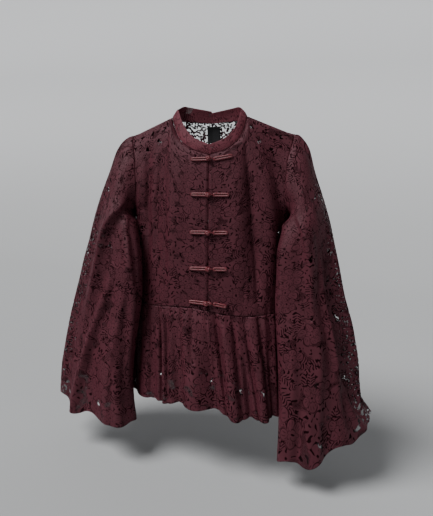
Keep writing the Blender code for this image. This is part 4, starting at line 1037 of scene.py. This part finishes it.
# %% The frogs
frog_pieces = []
for row in range(len(FROGS["z"])):
    z, number = FROGS["z"][row], row + 1
    loop = cord_bar(
        FROGS["right_end"][row], CENTRE_X - 0.001, z, FROGS["right_rise"][row], LOOP_REACH + 0.001, TURN_LIFT)
    frog_pieces.append(joined("frog_%d_loop" % number, [tube(loop, CORD_RADIUS)]))
    bar = cord_bar(
        FROGS["left_end"][row], CENTRE_X + BAR_STOP, z, FROGS["left_rise"][row], BAR_REACH, TURN_LIFT)
    middle, facing = on_front(CENTRE_X + 0.0015, z)
    centre = middle + facing * BALL_LIFT
    side_way = np.cross(facing, (0.0, 0.0, 1.0))
    side_way /= np.linalg.norm(side_way)
    upright = np.cross(side_way, facing)
    steps = np.linspace(0.0, 2 * np.pi * BALL_TURNS, 97)[:-1]
    tilt = 0.98 * np.sin(BALL_BIGHTS * steps / BALL_TURNS + 0.4 * row)
    swell = BALL_RADIUS * (1.0 + 0.16 * np.cos(2 * BALL_BIGHTS * steps / BALL_TURNS + 0.9 + 0.4 * row))
    winding = centre + swell[:, None] * (
        np.outer(np.cos(tilt) * np.cos(steps), side_way) + np.outer(np.cos(tilt) * np.sin(steps), upright)
        + np.outer(np.sin(tilt), facing))
    core = [centre + facing * BALL_RADIUS * h for h in np.linspace(-0.8, 0.8, 9)]
    neck = smooth_path([bar[20] * 0.5 + bar[-21] * 0.5 + facing * 0.0006,
                        bar[20] * 0.4 + centre * 0.6 - facing * 0.002, centre - facing * 0.002])
    frog_pieces.append(joined("frog_%d_knot" % number, [
        tube(bar, CORD_RADIUS), tube(winding, BALL_CORD_RADIUS, 10, closed=True),
        tube(core, BALL_RADIUS * 0.86, 12), tube(neck, NECK_CORD_RADIUS, 10)]))
print("frog halves:", len(frog_pieces), "faces:", sum(len(piece.data.polygons) for piece in frog_pieces))

# %% The neck label
LABEL_X = (-0.009, 0.014)
LABEL_Z = (-0.054, -0.018)
LABEL_SHARE_WIDTH = 0.207
LABEL_THICKNESS = 0.0006
LABEL_DEPTH = 0.0019


def label(across, up):
    """Where the label hangs, a little inside the back piece."""
    return back_folded(across, up) + normals(back_folded, across, up, 1, -1.0, 1.0) * LABEL_DEPTH


label_us = np.linspace(LABEL_X[0], LABEL_X[1], 13) / LABEL_SHARE_WIDTH
label_vs = (np.linspace(LABEL_Z[0], LABEL_Z[1], 19) - WAIST_Z) / (NECKLINE["z"][-1] - WAIST_Z)
cloth_sheet("neck_label", label, label_us, label_vs, -1, label_vs[9], 0.0, thickness=LABEL_THICKNESS)

# %% [markdown]
# ## Stitches
# Hems, front edges and the waist seam are sewn. One Geometry Nodes tree lays all the stitches: it turns
# each stitching line into a curve, resamples it at the stitch's pitch, puts a small grain of thread on
# every point and turns it to follow the line. The tree's inputs are its sizes, so the same tree would sew
# a coarser stitch on another garment.

# %% Stitching lines
STITCH_PITCH = 0.0034
STITCH_LENGTH = 0.0024
STITCH_THICKNESS = 0.00042
STITCH_SEED = 7
HEM_STITCH_MM = HEM_WIDTH - 1.4
WAIST_STITCH_MM = 2.4
COLLAR_STITCH_MM = 2.2
GRAIN_SEGMENTS = 6
GRAIN_RINGS = 4


def stitch_line(name, distance_mm, edge):
    """Points on a sheet's outer face, a set distance from one of its edges."""
    sheet = made[name]
    outer, normal = sheet["outer"], sheet["normal"]
    if edge in ("start_u", "end_u"):
        outer, normal = outer.swapaxes(0, 1), normal.swapaxes(0, 1)
    if edge in ("end_u", "end_v"):
        outer, normal = outer[:, ::-1], normal[:, ::-1]
    line = []
    for points, facings in zip(outer, normal):
        along = lengths(points[:12])
        at = np.array([np.interp(distance_mm, along, points[:12, k]) for k in range(3)])
        line.append(at + facings[2] * 0.00012)
    return line


STITCHING = (
    ("peplum_front_left", "end_v", HEM_STITCH_MM), ("peplum_front_right", "end_v", HEM_STITCH_MM),
    ("peplum_back", "end_v", HEM_STITCH_MM), ("sleeve_left", "end_v", HEM_STITCH_MM),
    ("sleeve_right", "end_v", HEM_STITCH_MM), ("front_left", "start_u", HEM_STITCH_MM),
    ("front_right", "start_u", HEM_STITCH_MM), ("front_left", "start_v", WAIST_STITCH_MM),
    ("front_right", "start_v", WAIST_STITCH_MM), ("back", "start_v", WAIST_STITCH_MM),
    ("collar", "start_v", COLLAR_STITCH_MM),
)
stitch_verts, stitch_edges = [], []
for name, edge, distance in STITCHING:
    line = stitch_line(name, distance, edge)
    stitch_edges += [(len(stitch_verts) + k, len(stitch_verts) + k + 1) for k in range(len(line) - 1)]
    stitch_verts += [tuple(point) for point in line]
stitching_mesh = bpy.data.meshes.new("stitching")
stitching_mesh.from_pydata(stitch_verts, stitch_edges, [])
stitching = show("stitching", stitching_mesh)
print("stitching lines:", len(STITCHING))

# %% [markdown]
# ## Materials
# ** Lace** here is a dense jacquard lace in dark wine. Seen close, solid cloth alternates with rows of short curved slits that draw fern leaves, thin slits that outline the petals of flowers, and patches of open net between them. Slits, spots and net are coloured near-black wine, a painted shade for the dark inside seen through them. The net lets a little light through, and the slits let light through only near the cut gaps, in the back yoke and down the outer side of the sleeves. From a step away the slits read as fine dark drawing on the cloth. The thread is dull, with a soft sheen where the cloth turns away. **Satin** in the frogs is smoother and redder.
#
# Colours are written as sRGB, the way a colour picker shows them, and one function turns them into the
# linear values that Blender's sockets expect.

# %% Helpers for materials


def linear(colour):
    """sRGB hex to linear colour with alpha."""
    parts = [int(colour[k:k + 2], 16) / 255.0 for k in (1, 3, 5)]
    return (*(c / 12.92 if c <= 0.04045 else ((c + 0.055) / 1.055) ** 2.4 for c in parts), 1.0)


def node(tree, kind, inputs=(), out=0, **settings):
    """Add a node, set it, link or fill its inputs, and give back one of its outputs."""
    new = tree.nodes.new(kind)
    for name, value in settings.items():
        setattr(new, name, value)
    for socket, value in (inputs.items() if isinstance(inputs, dict) else enumerate(inputs)):
        if isinstance(value, bpy.types.NodeSocket):
            tree.links.new(value, new.inputs[socket])
        else:
            new.inputs[socket].default_value = value
    return new.outputs[out] if new.outputs else None


def work_out(tree, known, *rows):
    """Work through rows of (result, operation, values). A value may name an earlier result, and ! clamps."""
    for result, operation, *values in rows:
        inputs = [known[value] if isinstance(value, str) else value for value in values]
        settings = {"operation": operation.rstrip("!"), "use_clamp": operation.endswith("!")}
        known[result] = node(tree, "ShaderNodeMath", inputs, **settings)
    return known


def noise(tree, place, size_mm, detail, out=0):
    """Flat noise whose grain has a real size in millimetres."""
    inputs = {"Vector": place, "Scale": 1 / size_mm, "Detail": detail}
    return node(tree, "ShaderNodeTexNoise", inputs, out, noise_dimensions="2D")


def blend(tree, factor, first, second):
    """Mix two colours, each given as sRGB hex or as a socket."""
    first, second = (linear(colour) if isinstance(colour, str) else colour for colour in (first, second))
    return node(tree, "ShaderNodeMix", {"Factor": factor, 6: first, 7: second}, 2, data_type="RGBA")


def surface_finish(tree, shader, colour, height, distance, strength):
    """Link the colour, and a bump whose full height is a distance in metres."""
    bump = node(tree, "ShaderNodeBump", {"Height": height, "Distance": distance, "Strength": strength})
    tree.links.new(colour, shader.inputs["Base Color"])
    tree.links.new(bump, shader.inputs["Normal"])


def new_material(name, roughness, ior, sheen):
    """A material with its uniform values on the shader's own sockets."""
    material = bpy.data.materials.new(name)
    material.use_nodes = True
    tree = material.node_tree
    shader = tree.nodes["Principled BSDF"]
    shader.inputs["Roughness"].default_value = roughness
    shader.inputs["IOR"].default_value = ior
    shader.inputs["Sheen Weight"].default_value = sheen
    shader.inputs["Sheen Roughness"].default_value = 0.45
    return material, tree, shader


# %% Lace
FLOWER_CELL = 50.0
LEAF_CELL = 27.0
SLIT_PITCH = 4.6
NET_PITCH = 1.9
THREAD_PITCH = 1.1


def lace_material(name, cloth, worn, hollow_shade, sheen, openness=1.0):
    """Wine lace: flowers, fern leaves, spots and net as slits in solid cloth, the slits coloured with painted
    shade. Sizes in millimetres.
    """
    material, tree, shader = new_material(name, 0.66, 1.46, sheen)
    flat = node(tree, "ShaderNodeUVMap", uv_map="cloth_mm")
    drift = noise(tree, flat, 19, 1.0, "Color")
    drift = node(tree, "ShaderNodeVectorMath", [drift, (0.5, 0.5, 0.5)], operation="SUBTRACT")
    drawn = node(tree, "ShaderNodeVectorMath", [drift, (9.0, 9.0, 0.0), flat], operation="MULTIPLY_ADD")

    # Flowers and leaves: one to a cell, each turned its own way.
    known = {}
    for word, cell, start in (
            ("flower", FLOWER_CELL, (0.0, 0.0, 0.0)), ("leaf", LEAF_CELL, (71.0, 133.0, 0.0))):
        moved = node(tree, "ShaderNodeVectorMath", [drawn, start], operation="ADD")
        cells = {"Vector": moved, "Scale": 1 / cell, "Randomness": 0.8}
        centre = node(tree, "ShaderNodeTexVoronoi", cells, "Position", voronoi_dimensions="2D")
        chance = node(tree, "ShaderNodeSeparateColor", [centre.node.outputs["Color"]])
        local = node(tree, "ShaderNodeVectorMath", [moved, centre], operation="SUBTRACT")
        known[word + "_chance"], known[word + "_second"] = chance, chance.node.outputs[1]
        work_out(tree, known, (word + "_spin", "MULTIPLY", word + "_chance", 2 * math.pi))
        spun = {"Vector": local, "Angle": known[word + "_spin"]}
        turned = node(tree, "ShaderNodeVectorRotate", spun, rotation_type="Z_AXIS")
        split = node(tree, "ShaderNodeSeparateXYZ", [turned])
        known[word + "_x"], known[word + "_y"] = split, split.node.outputs[1]
    work_out(
        tree, known,
        ("x2", "MULTIPLY", "flower_x", "flower_x"), ("r2", "MULTIPLY_ADD", "flower_y", "flower_y", "x2"),
        ("radius", "SQRT", "r2"), ("turn", "ARCTAN2", "flower_y", "flower_x"),
        ("petals", "MULTIPLY", "turn", 2.5),
        ("wave", "COSINE", "petals"), ("wave", "ABSOLUTE", "wave"), ("lobe", "POWER", "wave", 0.45),
        ("size", "MULTIPLY_ADD", "flower_second", 7.0, 17.0),
        ("reach", "MULTIPLY_ADD", "lobe", 0.62, 0.38), ("reach", "MULTIPLY", "reach", "size"),
        ("off", "SUBTRACT", "radius", "reach"), ("near", "ABSOLUTE", "off"),
        ("outline", "MULTIPLY_ADD!", "near", -1.5, 1.8),
        ("cross", "SINE", "petals"), ("cross", "ABSOLUTE", "cross"), ("cross", "POWER", "cross", 0.5),
        ("inner_reach", "MULTIPLY_ADD", "cross", 5.2, 2.8),
        ("inner_off", "SUBTRACT", "radius", "inner_reach"),
        ("inner_near", "ABSOLUTE", "inner_off"), ("inner", "MULTIPLY_ADD!", "inner_near", -1.9, 1.4),
        ("eye", "MULTIPLY_ADD!", "radius", -1.5, 3.0),
        ("rays", "MULTIPLY", "turn", 20.0), ("rays", "SINE", "rays"),
        ("rays", "MULTIPLY_ADD!", "rays", 3.0, -1.2),
        ("ring", "DIVIDE", "radius", "reach"), ("ring", "SUBTRACT", "ring", 0.68),
        ("ring", "ABSOLUTE", "ring"),
        ("ring", "MULTIPLY_ADD!", "ring", -9.0, 1.6), ("rays", "MULTIPLY", "rays", "ring"),
        ("outside", "MULTIPLY_ADD!", "off", 0.8, -0.5),
    )
    # Fern leaves: bent slits on both sides of a rib, shorter towards the tip.
    work_out(
        tree, known,
        ("ax", "ABSOLUTE", "leaf_x"), ("y2", "MULTIPLY", "leaf_y", "leaf_y"),
        ("half", "MULTIPLY_ADD", "y2", -0.030, 9.4), ("within", "SUBTRACT", "half", "ax"),
        ("grown", "MULTIPLY_ADD!", "leaf_second", 9.0, -2.4),
        ("within", "MULTIPLY_ADD!", "within", 1.3, 0.0), ("within", "MULTIPLY", "within", "grown"),
        ("bend", "MULTIPLY", "ax", "ax"), ("bend", "MULTIPLY", "bend", -0.035),
        ("bend", "MULTIPLY_ADD", "ax", 0.75, "bend"), ("rows", "ADD", "leaf_y", "bend"),
        ("rows", "MULTIPLY", "rows", 2 * math.pi / SLIT_PITCH), ("rows", "SINE", "rows"),
        ("rows", "MULTIPLY_ADD!", "rows", 2.6, -0.5), ("rib", "MULTIPLY_ADD!", "ax", 2.5, -0.8),
        ("slits", "MULTIPLY", "rows", "within"), ("slits", "MULTIPLY", "slits", "rib"),
        ("slits", "MULTIPLY", "slits", "outside"),
    )
    # Spots and patches of open net fill what is left between them.
    spots = noise(tree, drawn, 5.2, 0.0)
    patches = noise(tree, drawn, 24, 1.0)
    tone = noise(tree, flat, 38, 2.0)
    grid = node(tree, "ShaderNodeSeparateXYZ", [flat])
    openwork = node(tree, "ShaderNodeAttribute", out="Fac", attribute_name="openwork")
    known.update(
        spots=spots, patches=patches, tone=tone, across=grid, along=grid.node.outputs[1], openwork=openwork)
    work_out(
        tree, known,
        ("specks", "MULTIPLY_ADD", "openwork", 0.26, "spots"),
        ("specks", "MULTIPLY_ADD!", "specks", 12.0, -7.6),
        ("specks", "MULTIPLY", "specks", "openwork"), ("specks", "MULTIPLY_ADD!", "specks", 1.8, 0.0),
        ("spots", "MULTIPLY_ADD!", "spots", 9.0, -5.7), ("spots", "MULTIPLY", "spots", "outside"),
        ("clear", "SUBTRACT", 1.0, "within"), ("patches", "MULTIPLY_ADD!", "patches", 8.0, -4.4),
        ("patches", "MULTIPLY", "patches", "outside"), ("patches", "MULTIPLY", "patches", "clear"),
        ("net_a", "ADD", "across", "along"), ("net_a", "MULTIPLY", "net_a", math.pi / NET_PITCH),
        ("net_b", "SUBTRACT", "across", "along"), ("net_b", "MULTIPLY", "net_b", math.pi / NET_PITCH),
        ("net_a", "SINE", "net_a"), ("net_b", "SINE", "net_b"), ("net", "MULTIPLY", "net_a", "net_b"),
        ("net", "ABSOLUTE", "net"), ("net", "MULTIPLY_ADD!", "net", 4.0, -0.9),
        ("holes", "MULTIPLY", "net", "patches"),
        ("thread", "MULTIPLY", "across", 2 * math.pi / THREAD_PITCH), ("thread", "SINE", "thread"),
        ("faint", "MULTIPLY_ADD!", "tone", 2.2, -0.32), ("outline", "MULTIPLY", "outline", "faint"),
        ("inner", "MULTIPLY", "inner", 0.80), ("rays", "MULTIPLY", "rays", 0.5),
        ("open", "MAXIMUM", "outline", "inner"),
        *(("open", "MAXIMUM", "open", mark) for mark in ("rays", "eye", "slits", "spots", "holes")),
        ("open", "MULTIPLY", "open", openness), ("open", "MAXIMUM", "open", "specks"),
        ("through", "MULTIPLY", "slits", "openwork"), ("through", "MAXIMUM", "through", "specks"),
        ("holes", "MULTIPLY", "holes", 0.35), ("through", "MAXIMUM", "through", "holes"),
        ("alpha", "MULTIPLY_ADD!", "through", -1.0, 1.0),
        ("height", "SUBTRACT", 1.0, "open"), ("gloss", "MULTIPLY", "height", 0.30),
        ("fuzz", "MULTIPLY", "height", sheen),
        ("height", "MULTIPLY_ADD", "thread", 0.10, "height"),
    )
    # Slits, spots and net take the third colour: painted shade for the dark inside seen through the lace.
    colour = blend(tree, known["open"], blend(tree, known["tone"], cloth, worn), hollow_shade)
    surface_finish(tree, shader, colour, known["height"], 0.0004, 0.6)
    tree.links.new(known["alpha"], shader.inputs["Alpha"])
    tree.links.new(known["gloss"], shader.inputs["Specular IOR Level"])
    tree.links.new(known["fuzz"], shader.inputs["Sheen Weight"])
    shader.inputs["Sheen Tint"].default_value = linear("#a04a5c")
    return material


# %% Satin, thread and label tape
TWILL_PITCH = 0.9
WEFT_PITCH = 0.6


def satin_material():
    """Rose satin bound over a cord: long soft highlights, a little slub and tiny puckers along the length."""
    material, tree, shader = new_material("rose_satin", 0.36, 1.50, 0.10)
    flat = node(tree, "ShaderNodeUVMap", uv_map="cloth_mm")
    slub = noise(tree, flat, 1 / 0.55, 3.0)
    waves = {"Vector": flat, "Scale": 0.16, "Distortion": 3.5, "Detail": 1.5, "Detail Scale": 1.2}
    pucker = node(tree, "ShaderNodeTexWave", waves, "Fac", bands_direction="Y")
    known = work_out(
        tree, {"pucker": pucker, "slub": slub}, ("height", "MULTIPLY_ADD", "slub", 0.6, "pucker"))
    surface_finish(tree, shader, blend(tree, slub, "#4a141b", "#6c2830"), known["height"], 0.00022, 0.55)
    shader.inputs["Sheen Tint"].default_value = linear("#c4757c")
    shader.inputs["Anisotropic"].default_value = 0.4
    return material


def tape_material():
    """Black woven label tape, left bare: a fine twill with a dull shine."""
    material, tree, shader = new_material("woven_tape", 0.52, 1.50, 0.12)
    flat = node(tree, "ShaderNodeUVMap", uv_map="cloth_mm")
    grid = node(tree, "ShaderNodeSeparateXYZ", [flat])
    known = work_out(
        tree, {"x": grid, "y": grid.node.outputs[1]},
        ("diagonal", "ADD", "x", "y"), ("diagonal", "MULTIPLY", "diagonal", 2 * math.pi / TWILL_PITCH),
        ("twill", "SINE", "diagonal"), ("lines", "MULTIPLY", "y", 2 * math.pi / WEFT_PITCH),
        ("lines", "SINE", "lines"), ("height", "MULTIPLY_ADD", "lines", 0.4, "twill"),
        ("shade", "MULTIPLY_ADD!", "twill", 0.5, 0.5))
    colour = blend(tree, known["shade"], "#19191b", "#2a2a2d")
    surface_finish(tree, shader, colour, known["height"], 0.0001, 0.5)
    return material


def thread_material():
    """Sewing thread, a shade paler than the lace and a little uneven."""
    material, tree, shader = new_material("wine_thread", 0.50, 1.50, 0.20)
    place = node(tree, "ShaderNodeTexCoord", out="Object")
    slub = node(tree, "ShaderNodeTexNoise", {"Vector": place, "Scale": 900.0, "Detail": 2.0})
    surface_finish(tree, shader, blend(tree, slub, "#3c1a21", "#54262f"), slub, 0.0001, 0.6)
    return material


# The darkest colour of each lace is painted shade for its slits.
lace = lace_material("wine_lace", "#3c151e", "#4c1e29", "#16080b", 0.08)
# The collar is doubled lace and a little less open. Its lighter wine, compared with the body lace, is painted
# light for the lit collar.
collar_lit_lace = lace_material("doubled_lit_lace", "#4e1e28", "#602a35", "#1c0b0f", 0.12, openness=0.7)
satin, tape, thread = satin_material(), tape_material(), thread_material()
for name, sheet in made.items():
    material = {"collar": collar_lit_lace, "neck_label": tape}.get(name, lace)
    sheet["piece"].data.materials.append(material)
for piece in frog_pieces:
    piece.data.materials.append(satin)
print("materials:", [m.name for m in (lace, collar_lit_lace, satin, tape, thread)])

# %% [markdown]
# ## Sewing with Geometry Nodes
# Named inputs come first, then the nodes in the order the thread takes: line, curve, points, stitches.
# Realize Instances turns the copies into real mesh, and the finished object keeps no modifier.

# %% The stitch tree
sewing = bpy.data.node_groups.new("sewing", "GeometryNodeTree")
sewing.interface.new_socket("Lines", in_out="INPUT", socket_type="NodeSocketGeometry")
SEWING_INPUTS = (
    ("Pitch", "NodeSocketFloat", STITCH_PITCH), ("Length", "NodeSocketFloat", STITCH_LENGTH),
    ("Thickness", "NodeSocketFloat", STITCH_THICKNESS), ("Seed", "NodeSocketInt", STITCH_SEED),
    ("Thread", "NodeSocketMaterial", thread),
)
for word, kind, value in SEWING_INPUTS:
    socket = sewing.interface.new_socket(word, in_out="INPUT", socket_type=kind)
    socket.default_value = value
sewing.interface.new_socket("Stitches", in_out="OUTPUT", socket_type="NodeSocketGeometry")
given = node(sewing, "NodeGroupInput").node.outputs
curve = node(sewing, "GeometryNodeMeshToCurve", [given["Lines"]])
points = node(sewing, "GeometryNodeResampleCurve", {"Curve": curve, "Length": given["Pitch"]}, mode="LENGTH")
grain = node(sewing, "GeometryNodeMeshUVSphere",
             {"Segments": GRAIN_SEGMENTS, "Rings": GRAIN_RINGS, "Radius": 0.5})
size = node(sewing, "ShaderNodeCombineXYZ", [given["Thickness"], given["Thickness"], given["Length"]])
tangent = node(sewing, "GeometryNodeInputTangent")
along = node(sewing, "FunctionNodeAlignEulerToVector", {"Vector": tangent}, axis="Z")
limits = {0: (0.85, 0.85, 0.85), 1: (1.1, 1.1, 1.1), "Seed": given["Seed"]}
uneven = node(sewing, "FunctionNodeRandomValue", limits, data_type="FLOAT_VECTOR")
size = node(sewing, "ShaderNodeVectorMath", [size, uneven], operation="MULTIPLY")
placed = {"Points": points, "Instance": grain, "Rotation": along, "Scale": size}
laid = node(sewing, "GeometryNodeInstanceOnPoints", placed)
real = node(sewing, "GeometryNodeRealizeInstances", [laid])
sewn = node(sewing, "GeometryNodeSetMaterial", {"Geometry": real, "Material": given["Thread"]})
node(sewing, "NodeGroupOutput", [sewn])

modifier = stitching.modifiers.new("sewing", "NODES")
modifier.node_group = sewing
sockets = {item.name: item.identifier for item in sewing.interface.items_tree if item.in_out == "INPUT"}
for word, _, value in SEWING_INPUTS:
    modifier[sockets[word]] = value
result = bpy.data.meshes.new_from_object(stitching.evaluated_get(bpy.context.evaluated_depsgraph_get()))
stitching.modifiers.clear()
stitching.data = result
print("stitches:", len(result.vertices) // (GRAIN_SEGMENTS * (GRAIN_RINGS - 1) + 2))

# %% [markdown]
# ## Hanging the pieces on the frame
# The plain solids stay behind for physics, hidden. Each dressed piece, already given its finish, hangs from
# the root of the frame, and the solid it stands for is hidden.

# %% Pieces and the solids they stand for
for name, sheet in made.items():
    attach(sheet["piece"], "root")
    if name.startswith("sleeve"):
        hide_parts(name + "_front", name + "_back")
    else:
        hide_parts(name)
for piece in frog_pieces:
    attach(piece, "root")
    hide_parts(piece.name.removesuffix("_cord"))
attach(stitching, "root")

# %% [markdown]
# ## Floor, light and camera
# The shirt hangs in front of a pale room in soft light from above. The camera stands to the wearer's
# left, a little below the collar, and is shifted rather than tilted, so upright lines stay upright.

# %% Stage
FLOOR_Z = -0.70
SWEEP_RADIUS = 1.2
SWEEP_Y = 1.6
bend = [(SWEEP_Y + SWEEP_RADIUS * math.sin(angle), FLOOR_Z + SWEEP_RADIUS * (1.0 - math.cos(angle)))
        for angle in np.linspace(0.0, math.pi / 2, 17)]
profile = [(-5.0, FLOOR_Z), *bend, (SWEEP_Y + SWEEP_RADIUS, 5.0)]
floor_mesh = bpy.data.meshes.new("floor")
floor_mesh.from_pydata([(x, y, z) for y, z in profile for x in (-6.0, 6.0)], [],
                       [(2 * k, 2 * k + 1, 2 * k + 3, 2 * k + 2) for k in range(len(profile) - 1)])
floor_mesh.polygons.foreach_set("use_smooth", np.ones(len(floor_mesh.polygons), bool))
floor = show("floor", floor_mesh)
pale, pale_tree, pale_shader = new_material("pale_floor", 0.9, 1.4, 0.0)
height = node(pale_tree, "ShaderNodeSeparateXYZ", [node(pale_tree, "ShaderNodeTexCoord", out="Object")], 2)
height = node(
    pale_tree, "ShaderNodeMapRange", [height, FLOOR_Z, FLOOR_Z + 1.6], interpolation_type="SMOOTHSTEP")
pale_colour = blend(pale_tree, height, "#9b9c9d", "#e2e3e5")
pale_tree.links.new(pale_colour, pale_shader.inputs["Base Color"])
floor_mesh.materials.append(pale)

world = bpy.data.worlds.new("pale_room")
bpy.context.scene.world = world
world.use_nodes = True
sky = world.node_tree.nodes["Background"].inputs
sky["Color"].default_value = linear("#e6e7e8")
sky["Strength"].default_value = 0.24

for name, kind, place, aim, size, power in (
        ("key", "SUN", (-1.55, -1.7, 2.7), (0.0, 0.0, -0.25), math.radians(28.0), 4.7),
        ("fill", "AREA", (1.9, -1.5, 0.4), (0.0, 0.0, -0.30), 1.6, 4.0)):
    light = bpy.data.lights.new(name, kind)
    light.energy = power
    if kind == "SUN":
        light.angle = size
    else:
        light.size = size
    lamp = show(name, light)
    lamp.location = place
    lamp.rotation_euler = (Vector(aim) - Vector(place)).to_track_quat("-Z", "Y").to_euler()

# %% Camera
camera_data = bpy.data.cameras.new("camera")
camera_data.lens = 39.138
camera_data.sensor_width = 36.0
camera_data.shift_x = 0.27554
camera_data.shift_y = -0.20930
camera = show("camera", camera_data)
camera.location = (0.16701, -1.18832, -0.06861)
camera.rotation_euler = (math.radians(90.0), 0.0, math.radians(21.5))
bpy.context.scene.camera = camera
